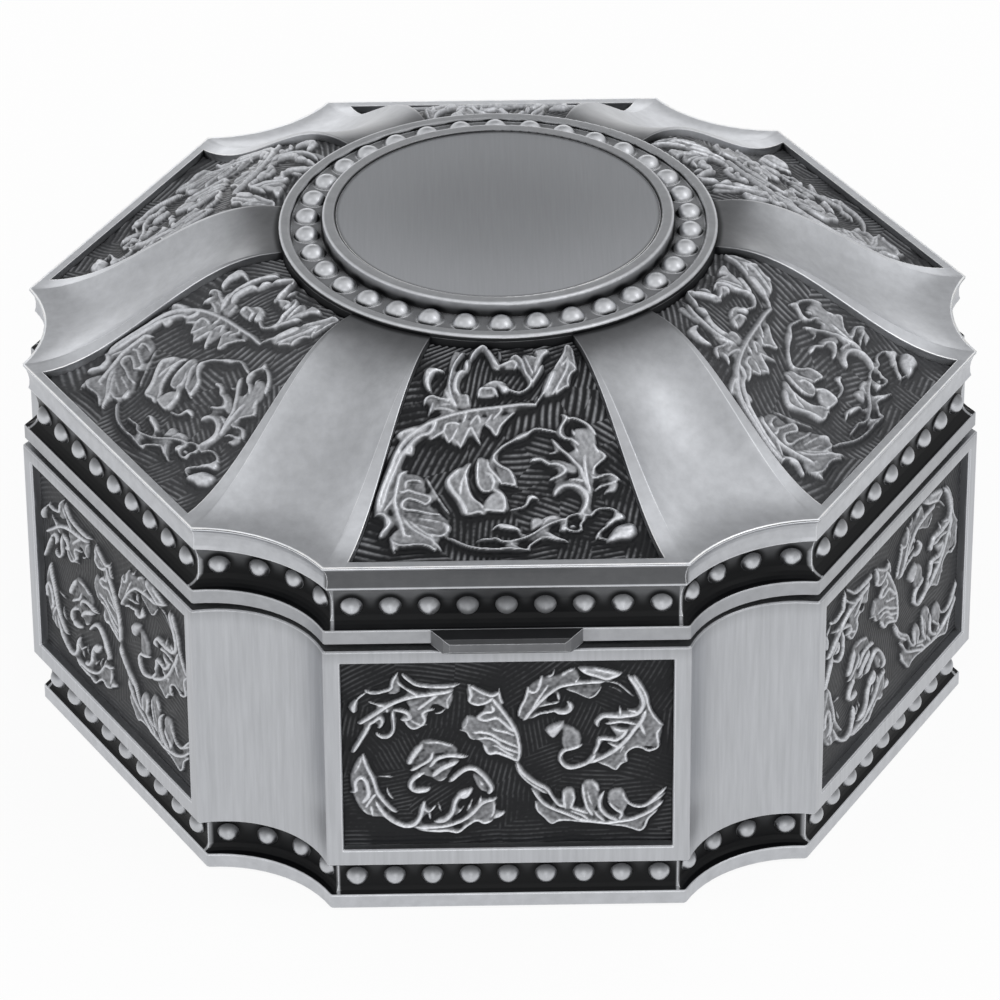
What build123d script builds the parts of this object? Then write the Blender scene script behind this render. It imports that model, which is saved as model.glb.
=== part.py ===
import os
from math import asin, cos, pi, radians, sin, tan

from build123d import *

# A hexagonal keepsake box. Six flat sides alternate with six concave corner flutes.
# Millimetres. +Z up, the front faces -Y, the origin is the centre of the base.

# --- outline, shared by every level ---
side_count = 6
body_apothem = 44.0          # centre to a flat side
corner_cut = 8.25            # from the corner that two flats would meet in to an arris
body_flute_depth = 2.8       # how far a flute is hollowed behind its two arrises
arris_radius = 0.35
edge_bevel = 0.15
wall_thickness = 2.8

# --- plinth ---
slab_height = 1.62
slab_setback = 0.85
slab_narrowing = 0.2
slab_flute_depth = 2.1
gallery_setback = 1.45       # cove with the row of beads, on the plinth and on the lid
gallery_narrowing = 0.95
gallery_flute_depth = 2.5
bead_radius = 1.08
bead_margin = 0.92           # cove wall above and below a bead
bead_sink = 0.15             # bead centre behind the cove wall
bead_pitch = 3.6
# the cove from its foot up: share of its height, share of the setback
plinth_cove = ((0, 0.7), (0.06, 0.9), (0.16, 1), (1, 1))
lid_cove = ((0, 0.35), (0.05, 0.62), (0.12, 0.84), (0.24, 0.97), (0.42, 1), (0.62, 1), (0.82, 0.88), (1, 0.7))
ledge_width = 2.7
ledge_height = 1.0
bottom_plate_thickness = 1.2
felt_thickness = 0.75

# --- body frame ---
body_height = 24.62
window_half_width = 15.56
window_sill = 1.84
window_head = 1.46
window_depth = 1.6
side_plate_thickness = 0.6
window_bevel = 0.15
# main strands of a side panel: start, middle and end as shares of its half sizes, then the width
scroll_height = 0.6
scroll_arcs = (
    # left scroll
    ((-0.35, 0.61), (-0.71, 0.51), (-0.91, 0.19), 2.0),
    ((-0.90, -0.08), (-0.83, -0.51), (-0.58, -0.74), 1.8),
    ((-0.48, -0.77), (-0.28, -0.72), (-0.09, -0.60), 2.0),
    ((-0.57, -0.06), (-0.47, 0.08), (-0.30, -0.04), 1.8),
    ((-0.34, -0.13), (-0.50, -0.21), (-0.54, -0.39), 1.5),
    ((-0.35, -0.31), (-0.22, -0.18), (-0.11, -0.41), 1.3),
    # leaf and stem between the scrolls
    ((-0.17, 0.61), (-0.05, 0.36), (0.05, -0.02), 2.1),
    ((-0.22, 0.26), (-0.14, 0.14), (0.01, 0.02), 1.7),
    ((0.06, -0.09), (0.15, -0.32), (0.32, -0.58), 0.9),
    # right scroll
    ((0.12, 0.40), (0.27, 0.69), (0.61, 0.81), 1.6),
    ((0.76, 0.75), (0.84, 0.28), (0.63, -0.08), 1.9),
    ((0.61, -0.09), (0.36, -0.14), (0.40, 0.08), 1.2),
    ((0.27, 0.24), (0.35, 0.25), (0.39, 0.13), 1.6),
    ((0.55, 0.31), (0.66, 0.30), (0.76, 0.34), 1.3),
    # right foot
    ((0.19, -0.60), (0.55, -0.77), (0.92, -0.58), 1.7),
    ((0.36, -0.44), (0.36, -0.55), (0.39, -0.66), 1.2),
    ((0.48, -0.39), (0.50, -0.53), (0.55, -0.67), 1.4),
    ((0.64, -0.46), (0.64, -0.57), (0.68, -0.70), 1.7),
)
lip_height = 0.62            # raised lip that the lid rests on
lip_thickness = 1.2

# --- lid ---
flange_height = 1.66
flange_setback = 0.2
flange_narrowing = 0.1
flange_flute_depth = 2.4
rim_height = 2.8
rim_setback = 0.4
# the hollow face of the rim from its foot up: share of its height, inset
rim_profile = ((0, 0.48), (0.06, 0.34), (0.2, 0.42), (0.42, 0.45), (0.62, 0.38), (0.8, 0.24), (0.94, 0), (1, 0.15))
rim_narrowing = 0.12
rim_flute_depth = 1.8
dome_rise = 10.6
dome_top_corner_cut = 5.1
dome_mid_flute_depth = 2.5
dome_top_flute_depth = 1.2
dome_wall = 3.0              # measured upright
cavity_setback = 4.4
dome_steps = 8
lid_window_land = 0.95       # between the window and the rim edge
lid_window_foot_land = 2.4   # between the window and an arris, by the rim
lid_window_head_land = 0.5   # and by the medallion
lid_window_depth = 1.5
lid_plate_thickness = 0.6
thumb_root_half_width = 7.1
thumb_front_half_width = 5.7
thumb_reach = 2.0
thumb_thickness = 1.6
thumb_bevel = 0.35

# --- medallion ---
plate_seat_radius = 15.8
inner_lip = 1.25
outer_lip = 1.1
medallion_foot = 0.6         # outer lip above the dome top
medallion_rise = 1.7         # inner lip above the dome top
channel_depth = 0.4
medallion_floor = 0.5
medallion_plate_recess = 0.15
medallion_bead_radius = 1.3
medallion_bead_margin = 0.27
medallion_bead_pitch = 3.44
medallion_bead_sink = 0.35   # bead centre below the channel floor
medallion_bevel = 0.2

# --- hinge ---
hinge_length = 26.0
knuckle_count = 5
knuckle_gap = 0.2
knuckle_radius = 1.1
pin_radius = 0.45
pin_clearance = 0.05
leaf_thickness = 0.29
leaf_play = 0.15
hinge_clearance = 0.2

# --- linings ---
lining_thickness = 0.7
lining_play = 0.05
floor_pad_thickness = 2.6
lid_pad_thickness = 1.8
soft_clearance = 0.15
plate_play = 0.05            # round plates and panels in their seats

# --- levels worked out from the sizes above ---
flute_turn = radians(180 / side_count)
side_half_width = body_apothem * tan(flute_turn) - corner_cut
inner_apothem = body_apothem - wall_thickness
gallery_height = 2 * (bead_radius + bead_margin)
body_foot = slab_height + gallery_height
body_top = body_foot + body_height
lid_foot = body_top + lip_height
flange_top = lid_foot + flange_height
rim_foot = flange_top + gallery_height
dome_foot = rim_foot + rim_height
dome_top = dome_foot + dome_rise
rim_apothem = body_apothem - rim_setback
rim_half_width = side_half_width - rim_narrowing
gallery_apothem = body_apothem - gallery_setback
gallery_half_width = side_half_width - gallery_narrowing
flange_apothem = body_apothem - flange_setback
window_floor = body_apothem - window_depth
channel_inner_radius = plate_seat_radius + inner_lip
channel_outer_radius = channel_inner_radius + 2 * (medallion_bead_radius + medallion_bead_margin)
medallion_radius = channel_outer_radius + outer_lip
dome_top_apothem = medallion_radius
dome_top_half_width = dome_top_apothem * tan(flute_turn) - dome_top_corner_cut
lid_window_foot = rim_apothem - lid_window_land
lid_window_head = channel_outer_radius
lid_window_foot_half_width = rim_half_width - lid_window_foot_land
lid_window_head_half_width = dome_top_half_width - lid_window_head_land
bottom_plate_top = ledge_height + bottom_plate_thickness
hinge_height = body_top + lip_height / 2
hinge_setback = flange_apothem + thumb_reach - knuckle_radius

os.makedirs("parts", exist_ok=True)


def save(piece, label):
    piece.part.label = label
    export_step(piece.part, f"parts/{label}.step")


# --- outlines ---
def flute_radius(apothem, half_width, depth):
    half_chord = (apothem * tan(flute_turn) - half_width) * cos(flute_turn)
    return (half_chord**2 + depth**2) / (2 * depth)


def flute_centre(apothem, half_width, depth):
    """Distance from the axis of the box to the axis of a flute."""
    chord = apothem * cos(flute_turn) + half_width * sin(flute_turn)
    return chord - depth + flute_radius(apothem, half_width, depth)


def turned(point, side):
    """A point (across, outwards) of the front side, carried round to another side."""
    return Vector(point[0], -point[1]).rotate(Axis.Z, 360 / side_count * side)


def fluted_sketch(height, apothem, half_width, depth):
    """Six flats joined by six concave flutes, at one height."""
    dip = flute_centre(apothem, half_width, depth) - flute_radius(apothem, half_width, depth)
    with BuildSketch(Plane.XY.offset(height)) as outline:
        with BuildLine():
            for side in range(side_count):
                left = turned((-half_width, apothem), side)
                right = turned((half_width, apothem), side)
                middle = turned((dip * sin(flute_turn), dip * cos(flute_turn)), side)
                Line(left, right)
                ThreePointArc(right, middle, turned((-half_width, apothem), side + 1))
        make_face()
    return outline.sketch


def inner_sketch(height, apothem):
    """The plain twelve-sided outline of the inside, with flats behind the sides."""
    with BuildSketch(Plane.XY.offset(height)) as outline:
        RegularPolygon(apothem, 2 * side_count, major_radius=False, rotation=90 / side_count)
    return outline.sketch


def cove_sketches(foot, profile):
    """Sections of a cove, between the body outline and the hollow that holds the beads."""
    return [
        fluted_sketch(
            foot + gallery_height * rise,
            body_apothem - gallery_setback * share,
            side_half_width - gallery_narrowing * share,
            body_flute_depth + (gallery_flute_depth - body_flute_depth) * share,
        )
        for rise, share in profile
    ]


def bead_places(height):
    """Places along the cove wall, round the whole box, each facing out of the wall."""
    radius = flute_radius(gallery_apothem, gallery_half_width, gallery_flute_depth)
    centre = flute_centre(gallery_apothem, gallery_half_width, gallery_flute_depth)
    half_chord = (gallery_apothem * tan(flute_turn) - gallery_half_width) * cos(flute_turn)
    half_sweep = asin(half_chord / radius)
    beads_per_side = round(2 * gallery_half_width / bead_pitch)
    beads_per_flute = round(2 * radius * half_sweep / bead_pitch)
    side_step = 2 * gallery_half_width / beads_per_side
    places = []
    for side in range(side_count):
        for bead in range(beads_per_side):
            across = side_step * (bead + 0.5) - gallery_half_width
            place = turned((across, gallery_apothem - bead_sink), side)
            places.append((place, turned((0, 1), side)))
        for bead in range(beads_per_flute):
            sweep = half_sweep * (2 * (bead + 0.5) / beads_per_flute - 1)
            outwards = centre - (radius + bead_sink) * cos(sweep)
            sideways = (radius + bead_sink) * sin(sweep)
            across = outwards * sin(flute_turn) + sideways * cos(flute_turn)
            forwards = outwards * cos(flute_turn) - sideways * sin(flute_turn)
            facing = (sin(flute_turn - sweep), cos(flute_turn - sweep))
            places.append((turned((across, forwards), side), turned(facing, side)))
    return [
        Location(Plane(place + Vector(0, 0, height), x_dir=(0, 0, 1), z_dir=facing))
        for place, facing in places
    ]


def dome_height(apothem):
    """The ogee of the lid: flat by the rim and by the medallion, steep between."""
    share = (rim_apothem - apothem) / (rim_apothem - dome_top_apothem)
    share = min(max(share, 0), 1)
    return dome_foot + dome_rise * (1 - cos(pi * share)) / 2


def dome_stations():
    run = rim_apothem - dome_top_apothem
    return [rim_apothem - run * step / dome_steps for step in range(dome_steps + 1)]


def dome_sketch(apothem):
    share = (rim_apothem - apothem) / (rim_apothem - dome_top_apothem)
    half_width = rim_half_width + (dome_top_half_width - rim_half_width) * share
    level_depth = rim_flute_depth + (dome_top_flute_depth - rim_flute_depth) * share
    swell = dome_mid_flute_depth - (rim_flute_depth + dome_top_flute_depth) / 2
    return fluted_sketch(dome_height(apothem), apothem, half_width, level_depth + swell * sin(pi * share))


def slope_sketch(upper_drop, lower_drop, start, stop):
    """Section of a layer under the ogee, drawn on the upright plane through the front side."""
    run = start - stop
    steps = [start - run * step / dome_steps for step in range(dome_steps + 1)]
    with BuildSketch(Plane.YZ) as layer:
        with BuildLine():
            upper = [(-apothem, dome_height(apothem) - upper_drop) for apothem in steps]
            lower = [(-apothem, dome_height(apothem) - lower_drop) for apothem in steps]
            Polyline(*upper, *reversed(lower), close=True)
        make_face()
    return layer.sketch


def side_plane(side, apothem, height):
    """Upright plane in front of one side, its x along the side and its y up."""
    across = turned((1, 0), side)
    outwards = turned((0, 1), side)
    return Plane(outwards * apothem + Vector(0, 0, height), x_dir=across, z_dir=outwards)


hinge_axis = Location((0, hinge_setback, hinge_height), (0, 90, 0))
hinge_seat_length = hinge_length + 2 * hinge_clearance

# --- plinth: slab, cove with beads, and a ledge for the bottom plate ---
slab_outline = fluted_sketch(
    0, body_apothem - slab_setback, side_half_width - slab_narrowing, slab_flute_depth
)
with BuildPart() as plinth:
    extrude(slab_outline, amount=slab_height)
    fillet(plinth.edges().filter_by(Axis.Z), arris_radius)
    chamfer(plinth.edges().group_by(Axis.Z)[0] + plinth.edges().group_by(Axis.Z)[-1], edge_bevel)
    loft(cove_sketches(slab_height, plinth_cove), ruled=True)
    with Locations(*bead_places(slab_height + gallery_height / 2)):
        Sphere(bead_radius)
    extrude(inner_sketch(ledge_height, inner_apothem), amount=body_foot, mode=Mode.SUBTRACT)
    extrude(inner_sketch(0, inner_apothem - ledge_width), amount=ledge_height, mode=Mode.SUBTRACT)
save(plinth, "plinth")

with BuildPart() as bottom_plate:
    extrude(inner_sketch(ledge_height, inner_apothem - plate_play), amount=bottom_plate_thickness)
save(bottom_plate, "bottom_plate")

with BuildPart() as base_felt:
    felt_apothem = inner_apothem - ledge_width - soft_clearance
    extrude(inner_sketch(ledge_height - felt_thickness, felt_apothem), amount=felt_thickness)
save(base_felt, "base_felt")

# --- body frame: fluted wall with six windows, and the lip that carries the lid ---
body_outline = fluted_sketch(body_foot, body_apothem, side_half_width, body_flute_depth)
window_height = body_height - window_sill - window_head
window_middle = body_foot + window_sill + window_height / 2
with BuildPart() as body_frame:
    extrude(body_outline, amount=body_height)
    fillet(body_frame.edges().filter_by(Axis.Z), arris_radius)
    chamfer(body_frame.edges().group_by(Axis.Z)[0] + body_frame.edges().group_by(Axis.Z)[-1], edge_bevel)
    extrude(inner_sketch(body_top, inner_apothem + lip_thickness), amount=lip_height)
    extrude(inner_sketch(body_foot, inner_apothem), amount=body_height + lip_height, mode=Mode.SUBTRACT)
    for side in range(side_count):
        with BuildSketch(side_plane(side, body_apothem, window_middle)):
            Rectangle(2 * window_half_width, window_height)
    extrude(amount=-window_depth, mode=Mode.SUBTRACT)
    for side in range(side_count):
        with BuildSketch(side_plane(side, body_apothem, window_middle)):
            Rectangle(2 * (window_half_width + window_bevel), window_height + 2 * window_bevel)
    extrude(amount=-window_bevel, taper=45, mode=Mode.SUBTRACT)
    with Locations(hinge_axis):
        Cylinder(knuckle_radius + hinge_clearance, hinge_seat_length, mode=Mode.SUBTRACT)
    with Locations((0, body_apothem, body_top)):
        Box(
            hinge_seat_length,
            2 * (body_apothem - inner_apothem),
            lip_height,
            align=(Align.CENTER, Align.CENTER, Align.MIN),
            mode=Mode.SUBTRACT,
        )
save(body_frame, "body_frame")

panel_half_width = window_half_width - plate_play
panel_half_height = window_height / 2 - plate_play
with BuildSketch() as scrolls:
    for *points, width in scroll_arcs:
        placed = [(x * panel_half_width, y * panel_half_height) for x, y in points]
        SlotArc(Edge.make_three_point_arc(*placed), width)
    Rectangle(2 * panel_half_width, 2 * panel_half_height, mode=Mode.INTERSECT)
for side in range(side_count):
    with BuildPart() as side_relief:
        with BuildSketch(side_plane(side, window_floor, window_middle)):
            Rectangle(2 * panel_half_width, 2 * panel_half_height)
        extrude(amount=side_plate_thickness)
        with BuildSketch(side_plane(side, window_floor + side_plate_thickness, window_middle)):
            add(scrolls.sketch)
        extrude(amount=scroll_height)
    save(side_relief, f"side_relief_{side + 1}")

# --- lid gallery: flange that rests on the lip, cove with beads ---
flange_outline = fluted_sketch(
    lid_foot, flange_apothem, side_half_width - flange_narrowing, flange_flute_depth
)
with BuildPart() as lid_gallery:
    extrude(flange_outline, amount=flange_height)
    fillet(lid_gallery.edges().filter_by(Axis.Z), arris_radius)
    chamfer(lid_gallery.edges().group_by(Axis.Z)[0] + lid_gallery.edges().group_by(Axis.Z)[-1], edge_bevel)
    loft(cove_sketches(flange_top, lid_cove), ruled=True)
    with Locations(*bead_places(flange_top + gallery_height / 2)):
        Sphere(bead_radius)
    extrude(inner_sketch(lid_foot, inner_apothem), amount=flange_height + gallery_height, mode=Mode.SUBTRACT)
    with Locations(hinge_axis):
        Cylinder(knuckle_radius + hinge_clearance, hinge_seat_length, mode=Mode.SUBTRACT)
save(lid_gallery, "lid_gallery")

with BuildPart() as thumb_lift:
    with BuildSketch(Plane.XY.offset(lid_foot)):
        with BuildLine():
            Polyline(
                (-thumb_root_half_width, -flange_apothem),
                (-thumb_front_half_width, -flange_apothem - thumb_reach),
                (thumb_front_half_width, -flange_apothem - thumb_reach),
                (thumb_root_half_width, -flange_apothem),
                close=True,
            )
        make_face()
    extrude(amount=thumb_thickness)
    chamfer(thumb_lift.faces().sort_by(Axis.Y)[0].edges(), thumb_bevel)
save(thumb_lift, "thumb_lift")

# --- lid shell: rim, fluted ogee dome, six windows ---
rim_sections = [
    fluted_sketch(rim_foot + rim_height * rise, rim_apothem - inset, rim_half_width - inset, rim_flute_depth)
    for rise, inset in rim_profile
]
dome_sections = [dome_sketch(apothem) for apothem in dome_stations()]
cavity_run = rim_apothem - cavity_setback - dome_top_apothem
cavity_steps = [rim_apothem - cavity_setback - cavity_run * step / dome_steps for step in range(dome_steps + 1)]
cavity_sections = [inner_sketch(rim_foot, cavity_steps[0])] + [
    inner_sketch(dome_height(apothem) - dome_wall, apothem) for apothem in cavity_steps
]
with BuildSketch() as lid_window_plan:
    with BuildLine():
        Polyline(
            (-lid_window_foot_half_width, -lid_window_foot),
            (lid_window_foot_half_width, -lid_window_foot),
            (lid_window_head_half_width, -lid_window_head),
            (-lid_window_head_half_width, -lid_window_head),
            close=True,
        )
    make_face()
    Circle(medallion_radius, mode=Mode.SUBTRACT)
with BuildPart() as window_cutter:
    extrude(
        slope_sketch(-lid_window_depth, lid_window_depth, lid_window_foot, lid_window_head),
        amount=rim_half_width,
        both=True,
    )
    extrude(lid_window_plan.sketch, amount=2 * dome_top, mode=Mode.INTERSECT)
with BuildPart() as lid_shell:
    loft(rim_sections, ruled=True)
    loft(dome_sections)
    loft(cavity_sections, ruled=True, mode=Mode.SUBTRACT)
    with PolarLocations(0, side_count):
        add(window_cutter.part, mode=Mode.SUBTRACT)
save(lid_shell, "lid_shell")

with BuildPart() as lid_plate:
    extrude(
        slope_sketch(
            lid_window_depth - lid_plate_thickness,
            lid_window_depth,
            lid_window_foot,
            lid_window_head,
        ),
        amount=rim_half_width,
        both=True,
    )
    extrude(offset(lid_window_plan.sketch, -plate_play), amount=2 * dome_top, mode=Mode.INTERSECT)
for side in range(side_count):
    with BuildPart() as lid_relief:
        add(lid_plate.part, rotation=(0, 0, 360 / side_count * side))
    save(lid_relief, f"lid_relief_{side + 1}")

# --- medallion: beaded ring and the plain plate inside it ---
channel_floor = dome_top + medallion_foot - channel_depth
medallion_bead_circle = (channel_inner_radius + channel_outer_radius) / 2
medallion_bead_count = round(2 * pi * medallion_bead_circle / medallion_bead_pitch)
with BuildPart() as medallion_ring:
    with BuildSketch(Plane.XZ):
        with BuildLine():
            Polyline(
                (0, dome_top),
                (medallion_radius, dome_top),
                (medallion_radius, dome_top + medallion_foot),
                (channel_outer_radius, dome_top + medallion_foot),
                (channel_outer_radius, channel_floor),
                (channel_inner_radius, channel_floor),
                (channel_inner_radius, dome_top + medallion_rise),
                (plate_seat_radius, dome_top + medallion_rise),
                (plate_seat_radius, dome_top + medallion_floor),
                (0, dome_top + medallion_floor),
                close=True,
            )
        make_face()
    revolve(axis=Axis.Z)
    lip_tops = [dome_top + medallion_foot, dome_top + medallion_rise]
    lip_edges = [edge for edge in medallion_ring.edges() if edge.center().Z in lip_tops]
    fillet(lip_edges, medallion_bevel)
    with Locations((0, 0, channel_floor - medallion_bead_sink)):
        with PolarLocations(medallion_bead_circle, medallion_bead_count, start_angle=-90):
            Sphere(medallion_bead_radius)
    split(bisect_by=Plane.XY.offset(dome_top))
save(medallion_ring, "medallion_ring")

with BuildPart() as medallion_plate:
    with BuildSketch(Plane.XY.offset(dome_top + medallion_floor)):
        Circle(plate_seat_radius - plate_play)
    extrude(amount=medallion_rise - medallion_floor - medallion_plate_recess)
save(medallion_plate, "medallion_plate")

# --- hinge: two leaves in the gap over the body frame, knuckles outside it, one pin ---
knuckle_step = (hinge_length + knuckle_gap) / knuckle_count
knuckle_length = knuckle_step - knuckle_gap
leaf_start = inner_apothem + leaf_play
leaf_end = hinge_setback - knuckle_radius - leaf_play
for name, leaf_foot, first_knuckle in (
    ("hinge_body_leaf", body_top, 0),
    ("hinge_lid_leaf", lid_foot - leaf_thickness, 1),
):
    knuckle_places = [
        (knuckle_step * knuckle - (hinge_length - knuckle_length) / 2, hinge_setback, hinge_height)
        for knuckle in range(first_knuckle, knuckle_count, 2)
    ]
    with BuildPart() as leaf:
        with Locations((0, leaf_start, leaf_foot)):
            Box(
                hinge_length,
                leaf_end - leaf_start,
                leaf_thickness,
                align=(Align.CENTER, Align.MIN, Align.MIN),
            )
        with Locations(*[Location(place, (0, 90, 0)) for place in knuckle_places]):
            Cylinder(knuckle_radius, knuckle_length)
        with Locations(*[(place[0], leaf_end, leaf_foot) for place in knuckle_places]):
            Box(
                knuckle_length,
                hinge_setback - leaf_end,
                leaf_thickness,
                align=(Align.CENTER, Align.MIN, Align.MIN),
            )
        with Locations(hinge_axis):
            Cylinder(pin_radius + pin_clearance, hinge_seat_length, mode=Mode.SUBTRACT)
    save(leaf, name)

with BuildPart() as hinge_pin:
    with Locations(hinge_axis):
        Cylinder(pin_radius, hinge_length)
save(hinge_pin, "hinge_pin")

# --- linings ---
lining_foot = bottom_plate_top + lining_play
lining_apothem = inner_apothem - lining_play
pad_apothem = lining_apothem - lining_thickness - soft_clearance
with BuildPart() as wall_lining:
    extrude(inner_sketch(lining_foot, lining_apothem), amount=body_top - lining_foot)
    extrude(
        inner_sketch(lining_foot, lining_apothem - lining_thickness),
        amount=body_top - lining_foot,
        mode=Mode.SUBTRACT,
    )
save(wall_lining, "wall_lining")

with BuildPart() as floor_pad:
    extrude(inner_sketch(lining_foot, pad_apothem), amount=floor_pad_thickness)
save(floor_pad, "floor_pad")

with BuildPart() as lid_lining:
    lid_pad_top = rim_foot - lining_play
    extrude(inner_sketch(lid_pad_top, inner_apothem - soft_clearance), amount=-lid_pad_thickness)
save(lid_lining, "lid_lining")
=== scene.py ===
import math
import bpy
import numpy as np
from mathutils import Matrix, Vector


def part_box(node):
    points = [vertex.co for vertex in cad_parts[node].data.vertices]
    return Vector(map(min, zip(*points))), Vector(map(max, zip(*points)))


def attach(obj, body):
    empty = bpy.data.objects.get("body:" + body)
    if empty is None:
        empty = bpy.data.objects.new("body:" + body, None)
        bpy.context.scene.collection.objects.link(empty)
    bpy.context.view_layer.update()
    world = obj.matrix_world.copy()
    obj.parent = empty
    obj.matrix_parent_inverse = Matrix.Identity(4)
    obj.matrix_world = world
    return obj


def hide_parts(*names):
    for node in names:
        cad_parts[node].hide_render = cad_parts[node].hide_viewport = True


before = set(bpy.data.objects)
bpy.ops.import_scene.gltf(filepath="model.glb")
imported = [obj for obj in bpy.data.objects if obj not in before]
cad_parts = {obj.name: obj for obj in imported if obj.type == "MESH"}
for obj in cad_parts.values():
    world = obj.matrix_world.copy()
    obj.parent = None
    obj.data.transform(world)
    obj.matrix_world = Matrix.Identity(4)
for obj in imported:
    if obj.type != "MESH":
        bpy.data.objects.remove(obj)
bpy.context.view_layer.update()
mm = 0.001
print("frame loaded")


def linear(hexColour):
    # sRGB hex to the linear colour that shaders take
    parts = [int(hexColour[i:i + 2], 16) / 255 for i in (1, 3, 5)]
    parts = [c / 12.92 if c <= 0.04045 else ((c + 0.055) / 1.055) ** 2.4 for c in parts]
    return (*parts, 1.0)


def addNode(tree, kind, settings=None, values=None, links=None):
    # one node with its settings, its input values and the sockets that feed it
    node = tree.nodes.new(kind)
    for name, value in (settings or {}).items():
        setattr(node, name, value)
    for name, value in (values or {}).items():
        node.inputs[name].default_value = value
    for name, socket in (links or {}).items():
        tree.links.new(socket, node.inputs[name])
    return node


def newMaterial(name):
    material = bpy.data.materials.new(name)
    material.use_nodes = True
    material.node_tree.nodes.clear()
    return material, material.node_tree


# settings that many nodes share
smooth = {"interpolation_type": "SMOOTHSTEP"}
product = {"operation": "MULTIPLY"}
larger = {"operation": "MAXIMUM"}

# camera, floor and light
cameraSetup = {
    "azimuth": -0.73,          # degrees, 0 looks along +Y
    "elevation": 33.01,
    "roll": -0.38,
    "distance": 650.75 * mm,
    "target": (0, 0, 18.29 * mm),
    "lens": 235.2,             # long lens on a 36 mm sensor
}
studio = {
    "floorSize": 4.0,
    "floorPlace": (0, 0, -0.0002),
    "floorColour": "#FBFBFB",
    "floorShine": 1.0,         # what metal, glass and the camera see of the floor
    "shadowShare": 0.08,       # how much of a shadow the pale floor still shows
    "roomGlow": 1.04,
    "rightShare": 0.9,         # overhead, how much brighter the right is per unit of direction
    "rightAbove": 0.42,        # below this height the left is the brighter side
    "darkGlow": 0.45,          # the gap between the lamps is dark: flat tops mirror it
    "darkAcross": {"From Min": 0.24, "From Max": 0.56, "To Min": 1.0, "To Max": 0.0},
    "darkBeyond": {"From Min": 0.3, "From Max": 0.62},
    "darkAbove": {"From Min": 0.28, "From Max": 0.44},
    "backGlow": 1.6,           # a low band of light beyond the box, seen on what leans away
    "backWay": (0, 0.995, 0.1),
    "backEdge": {"From Min": 0.9, "From Max": 0.985},
    "lampAim": (0, 0, 0.02),
    "lamps": (
        # place in metres, size, power, aimed at the box
        ("softboxFront", (0.02, -0.75, 0.2), 0.5, 0.8),
        ("softboxLeft", (-0.5, -0.3, 0.75), 0.34, 0.3),
        ("softboxRight", (0.55, -0.2, 0.7), 0.36, 0.6),
    ),
}


def placeCamera(setup):
    azimuth = math.radians(setup["azimuth"])
    elevation = math.radians(setup["elevation"])
    roll = math.radians(setup["roll"])
    back = Vector((
        math.sin(azimuth) * math.cos(elevation),
        -math.cos(azimuth) * math.cos(elevation),
        math.sin(elevation),
    ))
    side = Vector((math.cos(azimuth), math.sin(azimuth), 0))
    up = back.cross(side)
    right = side * math.cos(roll) + up * math.sin(roll)
    top = up * math.cos(roll) - side * math.sin(roll)
    place = Vector(setup["target"]) + back * setup["distance"]
    data = bpy.data.cameras.new("camera")
    data.lens = setup["lens"]
    data.sensor_width = 36
    data.clip_end = 20
    camera = bpy.data.objects.new("camera", data)
    turn = Matrix((right, top, back)).transposed().to_4x4()
    camera.matrix_world = Matrix.Translation(place) @ turn
    bpy.context.scene.collection.objects.link(camera)
    bpy.context.scene.camera = camera


def layFloor():
    bpy.ops.object.select_all(action="DESELECT")
    bpy.ops.mesh.primitive_plane_add(size=studio["floorSize"], location=studio["floorPlace"])
    floor = bpy.context.object
    floor.name = "floor"
    material, tree = newMaterial("whitePaperSweep")      # seamless paper: matt, even, next to white
    paper = addNode(tree, "ShaderNodeBsdfDiffuse", values={"Color": linear(studio["floorColour"])})
    glow = addNode(tree, "ShaderNodeEmission", values={"Strength": studio["floorShine"]})
    soft = addNode(tree, "ShaderNodeMixShader", values={"Fac": studio["shadowShare"]})
    tree.links.new(glow.outputs[0], soft.inputs[1])
    tree.links.new(paper.outputs[0], soft.inputs[2])
    path = addNode(tree, "ShaderNodeLightPath")
    seen = addNode(tree, "ShaderNodeMath", larger,
                   links={0: path.outputs["Is Camera Ray"], 1: path.outputs["Is Glossy Ray"]}).outputs[0]
    through = addNode(tree, "ShaderNodeMath", larger,
                      links={0: seen, 1: path.outputs["Is Transmission Ray"]}).outputs[0]
    choose = addNode(tree, "ShaderNodeMixShader", links={"Fac": through})
    tree.links.new(paper.outputs[0], choose.inputs[1])
    tree.links.new(soft.outputs[0], choose.inputs[2])
    addNode(tree, "ShaderNodeOutputMaterial", links={"Surface": choose.outputs[0]})
    floor.data.materials.append(material)


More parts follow.
